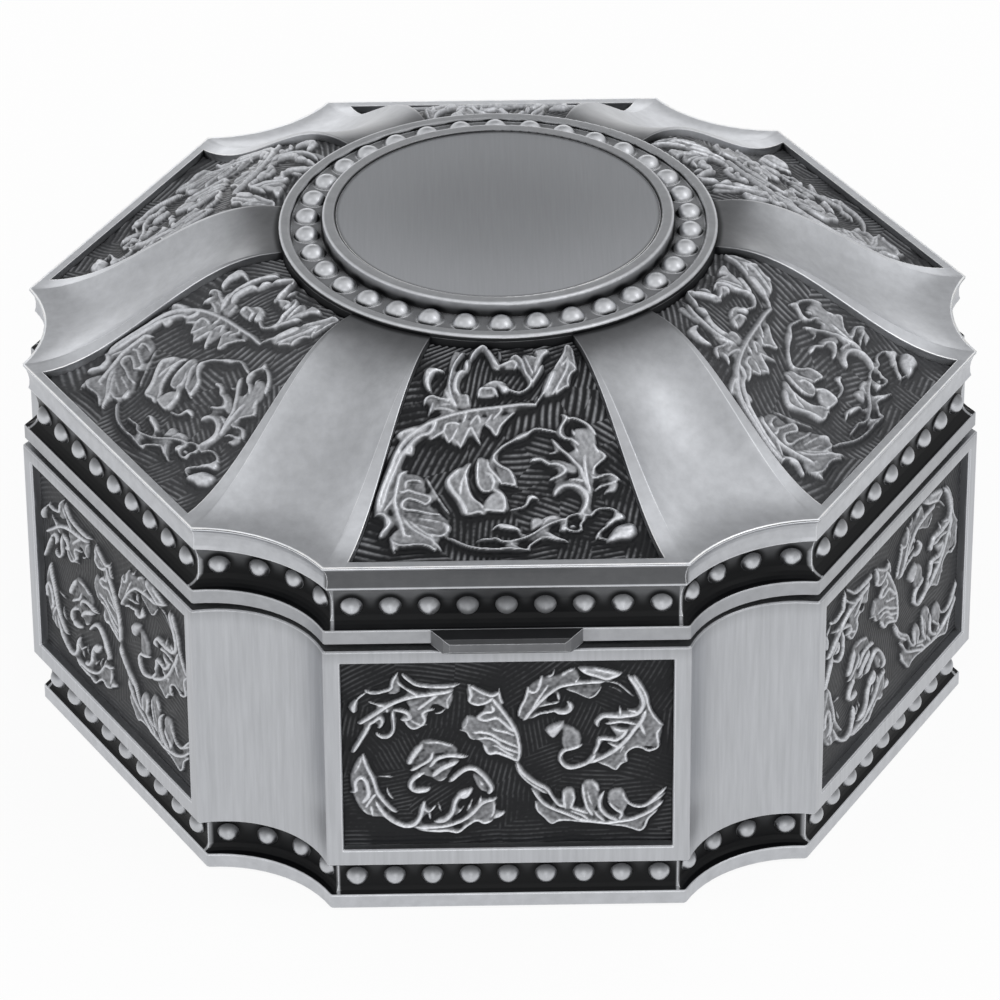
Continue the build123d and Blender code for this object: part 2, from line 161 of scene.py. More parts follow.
def lightStudio():
    scene = bpy.context.scene
    world = bpy.data.worlds.new("studioWorld")
    scene.world = world
    world.use_nodes = True
    tree = world.node_tree
    tree.nodes.clear()
    place = addNode(tree, "ShaderNodeTexCoord")
    split = addNode(tree, "ShaderNodeSeparateXYZ", links={"Vector": place.outputs["Generated"]})
    side = addNode(tree, "ShaderNodeMath", {"operation": "ABSOLUTE"}, links={0: split.outputs["X"]})
    narrow = addNode(tree, "ShaderNodeMapRange", smooth, studio["darkAcross"],
                     {"Value": side.outputs[0]}).outputs[0]
    beyond = addNode(tree, "ShaderNodeMapRange", smooth, studio["darkBeyond"],
                     {"Value": split.outputs["Y"]}).outputs[0]
    high = addNode(tree, "ShaderNodeMapRange", smooth, studio["darkAbove"],
                   {"Value": split.outputs["Z"]}).outputs[0]
    inward = addNode(tree, "ShaderNodeMath", product, links={0: beyond, 1: high}).outputs[0]
    gap = addNode(tree, "ShaderNodeMath", product, links={0: narrow, 1: inward}).outputs[0]
    dark = addNode(tree, "ShaderNodeMapRange", smooth,
                   {"From Min": 0, "From Max": 1, "To Min": studio["roomGlow"], "To Max": studio["darkGlow"]},
                   {"Value": gap}).outputs[0]
    above = addNode(tree, "ShaderNodeMath", {"operation": "SUBTRACT"}, {1: studio["rightAbove"]},
                    {0: split.outputs["Z"]})
    across = addNode(tree, "ShaderNodeMath", product,
                     links={0: split.outputs["X"], 1: above.outputs[0]}).outputs[0]
    sideways = addNode(tree, "ShaderNodeMath", {"operation": "MULTIPLY_ADD"},
                       {1: studio["rightShare"], 2: 1.0}, {0: across})
    low = addNode(tree, "ShaderNodeVectorMath", {"operation": "DOT_PRODUCT"}, {1: studio["backWay"]},
                  {0: place.outputs["Generated"]})
    band = addNode(tree, "ShaderNodeMapRange", smooth,
                   {**studio["backEdge"], "To Min": 1.0, "To Max": studio["backGlow"]},
                   {"Value": low.outputs["Value"]}).outputs[0]
    wallGlow = addNode(tree, "ShaderNodeMath", product, links={0: dark, 1: band}).outputs[0]
    strength = addNode(tree, "ShaderNodeMath", product,
                       links={0: wallGlow, 1: sideways.outputs[0]}).outputs[0]
    glow = addNode(tree, "ShaderNodeBackground", links={"Strength": strength})
    white = addNode(tree, "ShaderNodeBackground")
    path = addNode(tree, "ShaderNodeLightPath")
    choose = addNode(tree, "ShaderNodeMixShader", links={"Fac": path.outputs["Is Camera Ray"]})
    tree.links.new(glow.outputs[0], choose.inputs[1])
    tree.links.new(white.outputs[0], choose.inputs[2])
    addNode(tree, "ShaderNodeOutputWorld", links={"Surface": choose.outputs[0]})
    for name, place, size, power in studio["lamps"]:
        lamp = bpy.data.lights.new(name, "AREA")
        lamp.size = size
        lamp.energy = power
        box = bpy.data.objects.new(name, lamp)
        aim = Vector(studio["lampAim"]) - Vector(place)
        turn = aim.to_track_quat("-Z", "Y").to_matrix().to_4x4()
        box.matrix_world = Matrix.Translation(Vector(place)) @ turn
        scene.collection.objects.link(box)


placeCamera(cameraSetup)
layFloor()
lightStudio()
print("camera, floor and light placed")


# carved reliefs: leafy scrolls on a hatched ground, one design for the side panels and one for the lid
# ridge: (width, height, points); body: (height, edge run, points); hatch: (place, degrees, pitch)
sideDesign = {
    "ridges": [
        # left scroll, top leaf
        (0.6, 0.85, (-5.1, 7.15), (-6.8, 6.85), (-8.5, 6.6), (-9.9, 6.2), (-11.1, 5.6), (-12.3, 4.7),
         (-13.2, 4.05), (-13.9, 3.55)),
        (0.5, 0.85, (-4.5, 7.8), (-5.9, 7.65), (-7.4, 7.7), (-8.5, 7.9), (-9.1, 8.35), (-9.75, 8.95)),
        (0.45, 0.85, (-10.25, 9.1), (-10.7, 8.4), (-10.9, 7.5), (-11.5, 7.2), (-12.4, 7.0), (-13.2, 7.15)),
        (0.4, 0.75, (-10.3, 8.3), (-9.55, 7.45), (-8.5, 6.8)),
        (0.5, 0.8, (-6.5, 6.75), (-7.55, 5.85), (-8.3, 5.15)),
        (0.35, 0.65, (-5.1, 6.9), (-5.6, 6.15), (-5.55, 5.0)),
        (0.5, 0.85, (-10.75, 4.85), (-10.7, 3.6), (-10.7, 2.75), (-11.05, 2.1), (-11.7, 1.95),
         (-12.25, 2.25)),
        (0.55, 0.85, (-10.6, 5.0), (-9.9, 4.95), (-9.3, 4.6), (-9.15, 4.1), (-9.9, 3.9)),
        (0.35, 0.7, (-11.3, 5.5), (-11.25, 4.7)),
        (0.5, 0.85, (-13.1, 3.3), (-12.4, 3.9), (-11.95, 4.25), (-11.7, 3.7), (-12.05, 3.0)),
        (0.65, 0.85, (-12.9, 3.4), (-13.6, 2.05), (-14.1, 1.1), (-14.55, 0.3)),
        (0.3, 0.7, (-13.1, 7.1), (-13.8, 6.5), (-14.15, 6.05)),
        (0.35, 0.65, (-13.15, 6.0), (-12.35, 5.7), (-11.3, 5.5)),
        (0.42, 0.8, (-9.6, 3.95), (-9.35, 3.3), (-8.8, 2.9), (-8.05, 3.3), (-7.7, 3.9), (-7.95, 4.6),
         (-7.4, 5.0), (-6.9, 4.95)),
        (0.35, 0.65, (-9.2, 4.0), (-8.5, 3.5), (-7.6, 3.2)),
        (0.3, 0.7, (-6.9, 4.45), (-6.3, 4.6), (-5.85, 4.95)),
        # left scroll, outer leaf
        (0.5, 0.85, (-13.6, -0.1), (-13.3, -1.25), (-12.8, -2.5), (-12.5, -3.55), (-12.3, -4.4),
         (-11.75, -5.35), (-11.1, -6.2), (-10.55, -6.75)),
        (0.35, 0.6, (-13.7, -0.1), (-14.0, -1.25), (-14.5, -2.2)),
        (0.6, 0.85, (-14.8, -4.4), (-14.35, -4.1), (-14.4, -3.2), (-13.9, -2.6), (-13.4, -3.0),
         (-13.2, -3.85), (-13.2, -4.75), (-13.7, -5.5)),
        (0.42, 0.8, (-12.4, -4.45), (-12.95, -5.2), (-13.4, -6.0)),
        (0.35, 0.7, (-13.85, -6.05), (-13.25, -6.95)),
        (0.4, 0.75, (-12.95, -5.8), (-12.75, -7.2)),
        (0.5, 0.8, (-12.5, -5.4), (-12.0, -6.4), (-11.4, -7.15)),
        (0.3, 0.55, (-12.4, -2.7), (-11.65, -2.65), (-10.75, -2.75)),
        (0.35, 0.6, (-11.45, -3.9), (-11.25, -4.6), (-10.85, -5.3)),
        (0.65, 0.85, (-11.9, -6.8), (-10.95, -7.7), (-10.15, -8.2), (-9.5, -8.35), (-8.8, -8.1),
         (-8.3, -7.3), (-8.1, -6.4), (-7.9, -5.7)),
        (0.35, 0.75, (-8.1, -6.0), (-7.5, -6.7), (-6.9, -6.2)),
        (0.35, 0.6, (-7.45, -6.6), (-7.35, -7.7)),
        (0.35, 0.55, (-6.6, -5.8), (-6.3, -6.8)),
        # left scroll, foot
        (0.5, 0.85, (-8.8, -8.5), (-7.1, -8.5), (-5.75, -8.35), (-4.4, -7.8), (-3.4, -7.0), (-2.7, -6.1),
         (-2.1, -5.6), (-1.15, -5.35)),
        (0.45, 0.8, (-8.6, -8.75), (-6.8, -8.95), (-5.6, -8.95), (-4.7, -9.1), (-3.85, -8.35),
         (-2.95, -7.75), (-2.25, -8.1), (-1.5, -7.85)),
        (0.75, 0.85, (-1.3, -7.6), (-0.95, -7.25), (-0.45, -7.0)),
        (0.35, 0.65, (-1.35, -5.45), (-1.3, -6.6), (-1.6, -7.5)),
        (0.35, 0.65, (-2.5, -5.0), (-2.75, -6.0)),
        (0.65, 0.85, (-6.9, -7.9), (-5.9, -7.65), (-5.25, -6.8), (-5.0, -5.7), (-4.6, -4.9), (-3.95, -4.4)),
        (0.8, 0.85, (-4.7, -5.0), (-4.0, -4.95), (-3.5, -4.25)),
        (0.35, 0.6, (-4.9, -7.2), (-4.2, -6.3)),
        (0.35, 0.6, (-3.9, -6.8), (-3.4, -5.6)),
        # left scroll, inner curl
        (0.85, 0.85, (-8.05, 1.0), (-8.8, -0.1), (-9.3, -1.1)),
        (0.5, 0.75, (-7.0, 0.15), (-7.35, -0.7), (-8.2, -1.35), (-9.1, -1.95)),
        (0.55, 0.85, (-3.8, -0.5), (-5.0, -0.25), (-5.85, -0.3), (-6.7, -0.65), (-7.25, -1.45)),
        (0.8, 0.85, (-4.7, -1.0), (-5.6, -1.4), (-6.4, -1.9), (-7.0, -2.55)),
        (0.65, 0.85, (-7.9, -2.2), (-8.8, -2.8), (-9.2, -3.6), (-9.0, -4.25)),
        (0.85, 0.85, (-9.0, -4.3), (-8.2, -4.25), (-7.5, -4.15)),
        (0.4, 0.6, (-6.9, -3.1), (-6.3, -3.15), (-5.8, -2.8)),
        (0.65, 0.85, (-5.5, -3.35), (-4.7, -2.45), (-3.95, -1.85), (-3.2, -1.8), (-2.4, -2.5), (-1.85, -3.3),
         (-1.5, -4.1), (-1.8, -4.7)),
        (0.5, 0.65, (-2.75, -3.0), (-2.3, -3.8)),
        (0.4, 0.6, (-7.9, 1.2), (-6.6, 1.25), (-5.2, 0.8)),
        # middle leaf
        (0.35, 0.75, (-0.75, 7.15), (-0.65, 6.2), (-0.4, 5.6)),
        (0.45, 0.8, (-3.5, 7.7), (-2.85, 7.25), (-1.95, 6.7), (-1.3, 6.55), (-0.85, 6.85)),
        (0.5, 0.8, (-3.6, 7.7), (-3.4, 6.75), (-3.55, 5.95), (-2.8, 5.55), (-1.95, 5.8), (-1.4, 6.25)),
        (0.35, 0.6, (-2.9, 6.4), (-2.0, 6.2)),
        (0.5, 0.85, (-1.4, 6.25), (-0.65, 5.1), (-0.1, 4.2), (0.35, 3.4), (0.8, 2.4), (1.05, 1.3),
         (1.15, 0.1), (1.0, -0.9)),
        (0.5, 0.8, (-1.5, 5.5), (-1.35, 4.8), (-2.2, 4.6), (-2.7, 4.1), (-2.1, 3.75), (-1.05, 4.0),
         (-0.5, 3.6), (0.5, 2.5)),
        (0.4, 0.75, (-1.6, 2.95), (-1.0, 2.6), (-0.2, 2.4), (0.6, 2.0)),
        (0.35, 0.7, (-4.4, 2.5), (-3.8, 2.45), (-3.5, 1.75), (-2.95, 1.5)),
        (0.3, 0.6, (-4.3, 2.7), (-3.85, 3.3), (-3.75, 4.1)),
        (0.45, 0.8, (-3.3, 2.35), (-2.4, 2.4), (-1.5, 2.15), (-0.6, 1.5), (0.9, 0.7)),
        (0.45, 0.8, (-3.0, 1.55), (-2.0, 1.75), (-1.1, 1.4), (-0.4, 0.7), (0.9, 0.05)),
        (0.55, 0.8, (-2.25, 0.95), (-1.75, -0.05), (-1.0, 0.05), (0.1, -0.45), (0.95, -0.95)),
        (0.4, 0.7, (-1.6, 0.9), (-0.9, 0.75), (-0.4, 0.3), (0.5, -0.3)),
        # stem to the right foot leaf
        (0.45, 0.85, (0.85, -1.2), (1.35, -2.2), (2.1, -3.1), (3.0, -3.8), (3.75, -4.3), (4.2, -5.2),
         (4.8, -6.05), (5.4, -6.35)),
        (0.35, 0.75, (0.75, -1.5), (1.2, -2.5), (2.0, -3.5), (3.0, -4.25), (3.6, -4.8)),
        # right foot leaf
        (0.5, 0.85, (2.3, -4.3), (2.85, -5.2), (3.55, -6.05), (4.6, -6.7), (5.65, -7.2), (6.85, -7.8),
         (8.1, -8.1), (9.3, -8.25), (10.5, -8.1), (11.7, -7.9), (12.65, -7.45), (13.55, -6.9), (14.6, -5.95)),
        (0.4, 0.75, (2.65, -5.8), (2.8, -6.7), (3.5, -7.55), (4.15, -8.25), (4.9, -7.85), (6.25, -7.95),
         (7.5, -8.15)),
        (0.4, 0.75, (9.3, -8.4), (10.8, -8.6), (11.7, -8.9), (12.5, -9.2), (12.95, -8.8), (13.3, -7.8),
         (14.1, -6.9)),
        (0.42, 0.8, (11.2, -5.9), (12.0, -6.4), (12.95, -6.35), (13.7, -5.65), (14.3, -5.0), (14.9, -4.45)),
        (0.35, 0.7, (14.9, -5.0), (14.15, -5.55), (13.25, -6.25)),
        (0.45, 0.8, (5.25, -4.5), (5.3, -5.6), (5.45, -6.5)),
        (0.42, 0.8, (6.15, -4.5), (6.25, -5.5), (6.0, -6.4), (6.7, -6.75), (7.5, -7.1)),
        (0.45, 0.75, (7.05, -3.9), (7.2, -5.2), (7.5, -6.4), (8.0, -7.35)),
        (0.4, 0.6, (7.5, -4.3), (7.75, -5.6), (8.0, -6.2)),
        (0.6, 0.65, (8.0, -3.4), (8.35, -3.9), (8.55, -4.6)),
        (0.55, 0.85, (9.05, -4.8), (8.75, -5.4), (8.7, -6.3), (9.0, -7.0), (9.6, -7.6), (10.3, -7.9)),
        (0.4, 0.75, (5.9, -6.8), (7.0, -7.3), (7.6, -7.8)),
        (0.4, 0.75, (8.1, -6.8), (8.5, -7.4), (9.1, -8.0)),
        (0.5, 0.85, (9.5, -5.9), (10.2, -6.7), (10.8, -7.15), (10.6, -7.7)),
        (0.35, 0.55, (9.65, -4.7), (9.6, -5.6)),
        (0.35, 0.65, (10.8, -4.5), (11.1, -5.5), (11.6, -6.15)),
        # right scroll, arch
        (0.38, 0.75, (1.0, 4.0), (1.25, 5.1), (1.7, 6.15), (1.95, 7.3)),
        (0.45, 0.8, (1.95, 7.1), (2.45, 6.85), (2.9, 7.3), (3.2, 8.5)),
        (0.5, 0.85, (1.5, 3.55), (2.0, 4.4), (2.65, 5.25), (3.25, 6.0), (4.0, 6.75), (4.9, 7.45),
         (6.1, 7.75), (7.5, 7.9), (9.0, 7.95)),
        (0.35, 0.7, (1.8, 3.7), (2.3, 4.9), (2.95, 6.2), (3.8, 7.6)),
        (0.26, 0.6, (9.0, 7.95), (10.2, 7.65), (10.95, 7.05), (11.8, 6.1)),
        (0.24, 0.45, (9.4, 7.3), (10.2, 7.0), (10.8, 6.5)),
        (0.45, 0.6, (4.8, 8.5), (5.6, 9.1), (6.3, 9.4)),
        (0.3, 0.55, (3.4, 8.45), (4.2, 8.7), (4.4, 9.2)),
        (0.3, 0.6, (6.85, 8.6), (6.3, 7.85)),
        (0.55, 0.85, (6.7, 9.45), (7.5, 8.95), (8.4, 8.65), (9.3, 8.3), (9.9, 8.5), (10.6, 8.8)),
        (0.4, 0.75, (8.0, 9.5), (9.0, 9.25), (10.3, 8.9)),
        (0.32, 0.65, (5.4, 7.1), (6.4, 6.75), (7.2, 6.3), (7.75, 6.1), (8.3, 6.45), (8.75, 7.2)),
        (0.4, 0.7, (2.9, 5.2), (3.85, 5.45), (4.8, 5.6)),
        (0.5, 0.65, (4.7, 6.8), (4.85, 5.9)),
        (0.7, 0.85, (5.7, 5.6), (6.0, 5.1), (5.65, 4.6), (5.0, 4.5), (4.5, 4.7)),
        (0.38, 0.75, (2.1, 3.75), (2.95, 4.35), (3.85, 4.55), (4.6, 4.75)),
        # right scroll, outer leaf
        (0.65, 0.85, (11.35, 8.5), (12.0, 7.5), (12.5, 6.45), (12.75, 5.4), (12.5, 4.65), (12.0, 4.2),
         (11.1, 4.05), (10.2, 3.9)),
        (0.35, 0.75, (11.8, 8.6), (12.55, 7.35), (13.0, 6.3), (13.25, 5.1), (13.55, 4.35), (14.0, 3.6),
         (14.6, 2.85)),
        (0.38, 0.75, (14.6, 2.85), (14.05, 2.05), (14.2, 1.0), (14.1, 0.35), (13.25, 0.0), (12.65, 0.35),
         (12.0, 0.45), (11.4, 0.1), (11.1, -0.4), (11.25, -1.3)),
        (0.38, 0.75, (11.25, -1.3), (10.65, -1.4), (10.2, -2.1), (9.45, -1.65), (8.6, -1.3)),
        (0.6, 0.85, (13.0, 4.65), (12.6, 3.5), (12.0, 2.6), (11.4, 1.6), (10.8, 0.85), (10.05, 0.1),
         (9.0, -0.65), (7.8, -1.25)),
        (0.55, 0.85, (8.3, -0.3), (7.6, -1.2), (6.9, -1.6), (5.8, -1.85), (5.1, -1.3), (4.95, -0.5),
         (5.3, 0.15), (6.1, 0.4), (6.9, 0.7)),
        (0.5, 0.8, (12.95, 1.8), (12.7, 2.5), (12.4, 3.3)),
        (0.42, 0.8, (12.2, 3.05), (11.1, 3.3), (10.3, 3.35), (9.3, 3.1)),
        (0.38, 0.75, (11.0, 0.6), (10.3, 0.6), (9.5, 0.85)),
        (0.3, 0.7, (10.55, -0.25), (10.9, 0.6)),
        (0.55, 0.85, (8.1, -0.3), (8.55, 0.8), (8.65, 1.45), (9.6, 1.4), (10.2, 1.3), (10.8, 1.75),
         (11.2, 2.4)),
        (0.5, 0.7, (9.75, 2.7), (10.6, 2.4), (11.2, 2.4)),
        (0.65, 0.85, (8.5, 2.75), (8.4, 3.4), (9.0, 4.05), (9.9, 4.0), (10.4, 4.0)),
        (0.42, 0.7, (10.55, 4.95), (10.6, 4.2)),
        (0.42, 0.75, (11.3, 4.65), (12.1, 4.5)),
    ],
    "bodies": [
        (0.5, 0.3, (-9.3, 6.2), (-5.3, 7.0), (-5.5, 5.0), (-6.9, 5.5), (-7.6, 3.9), (-8.8, 3.0), (-9.9, 4.2),
         (-9.2, 5.1)),
        (0.5, 0.3, (-10.2, 9.0), (-11.0, 7.3), (-11.1, 6.7), (-10.0, 7.0)),
        (0.85, 0.45, (-14.0, 6.2), (-14.5, 6.1), (-14.9, 5.4), (-14.6, 4.75), (-14.1, 4.8)),
        (0.5, 0.3, (-13.6, -0.2), (-14.8, -2.2), (-14.7, -4.4), (-13.9, -6.5), (-12.8, -7.3), (-11.4, -7.1),
         (-12.4, -4.6)),
        (0.4, 0.3, (-8.1, 1.4), (-6.2, 1.35), (-4.9, 0.7), (-4.7, -0.2), (-6.8, -0.2), (-8.0, -1.2),
         (-9.3, -1.2)),
        (0.4, 0.3, (-7.6, -1.2), (-4.9, -0.9), (-6.0, -3.2), (-7.1, -3.0), (-8.4, -2.2)),
        (0.5, 0.3, (-2.7, -6.1), (-1.2, -5.4), (-1.3, -7.3), (-2.2, -8.1), (-3.8, -7.9), (-4.8, -8.6)),
        (0.45, 0.3, (-3.3, -2.4), (-2.1, -3.0), (-1.9, -4.6), (-2.8, -4.2)),
        (0.5, 0.3, (-3.6, 7.6), (-1.2, 6.4), (0.6, 3.0), (1.1, -0.6), (-1.8, -0.1), (-2.4, 1.0), (-4.3, 2.6),
         (-3.8, 4.2), (-2.8, 4.2), (-2.2, 5.4), (-3.6, 5.9)),
        (0.5, 0.3, (2.7, -5.7), (2.8, -6.8), (4.1, -8.2), (6.5, -7.9), (4.6, -6.8), (3.4, -5.8)),
        (0.5, 0.3, (10.8, -8.4), (12.5, -9.1), (13.1, -8.0), (14.6, -5.9), (12.6, -7.3)),
        (0.55, 0.3, (9.6, -4.6), (10.8, -4.4), (11.4, -6.0), (10.9, -7.2), (10.2, -6.4), (9.4, -5.8)),
        (0.6, 0.3, (5.2, -4.4), (6.3, -4.4), (6.2, -6.6), (5.2, -6.4)),
        (0.5, 0.3, (7.0, -3.8), (8.0, -3.3), (8.7, -4.4), (8.4, -6.8), (7.6, -6.8)),
        (0.85, 0.6, (3.5, 2.45), (4.3, 1.45), (5.2, 2.6), (5.3, 3.45), (4.2, 3.2)),
        (0.5, 0.35, (5.2, 3.2), (6.7, 2.3), (7.0, 1.0), (6.4, 0.5), (5.2, 0.4), (5.1, 2.2)),
        (0.65, 0.35, (6.7, 9.6), (8.3, 9.6), (10.6, 8.9), (9.3, 8.2), (7.6, 8.8)),
        (0.5, 0.3, (13.2, 4.6), (14.5, 2.85), (14.1, 0.5), (12.6, 0.4), (11.3, 0.1), (11.2, -1.2),
         (10.2, -2.0), (8.7, -1.2), (10.8, 0.8), (12.2, 2.6)),
        (0.45, 0.3, (1.0, 4.1), (1.9, 7.2), (3.1, 8.4), (4.3, 8.6), (6.2, 9.4), (6.8, 8.6), (6.2, 7.8),
         (4.6, 7.2), (3.2, 6.0), (1.7, 3.8)),
        (0.4, 0.3, (5.3, 7.2), (6.4, 6.8), (7.7, 6.2), (8.7, 7.2), (8.8, 7.8), (6.6, 7.7)),
        (0.6, 0.35, (9.6, 2.9), (11.2, 2.5), (10.4, 1.5)),
    ],
    "hatch": [
        ((-11.0, -9.6), 0, 0.5), ((-4.0, -9.9), 4, 0.5), ((2.5, -8.6), 2, 0.5), ((9.0, -9.8), 0, 0.5),
        ((0.6, -3.8), 84, 0.5), ((0.9, -6.2), 88, 0.5), ((12.2, -2.4), -14, 0.55), ((8.2, -2.9), -4, 0.5),
        ((2.3, 0.8), 96, 0.45), ((3.4, -0.6), 20, 0.45), ((13.6, 7.6), 62, 0.5), ((14.6, -2.2), -22, 0.5),
        ((1.2, 9.4), 38, 0.5), ((-2.2, 9.2), -18, 0.5), ((-7.5, 9.6), -8, 0.5), ((-13.2, 8.9), 30, 0.5),
        ((-12.2, 0.9), -52, 0.45), ((-10.9, -0.4), -66, 0.45), ((-5.2, 3.4), 84, 0.5), ((-5.2, 2.0), 70, 0.5),
        ((-10.6, -3.6), 12, 0.45), ((-0.2, -2.4), 80, 0.5), ((9.4, 6.0), -30, 0.45), ((7.6, 4.4), 70, 0.45),
        ((-6.4, -5.2), 40, 0.45), ((12.0, -4.4), 8, 0.5), ((15.0, 1.0), 84, 0.5), ((-15.0, 2.0), 80, 0.45),
    ],
}
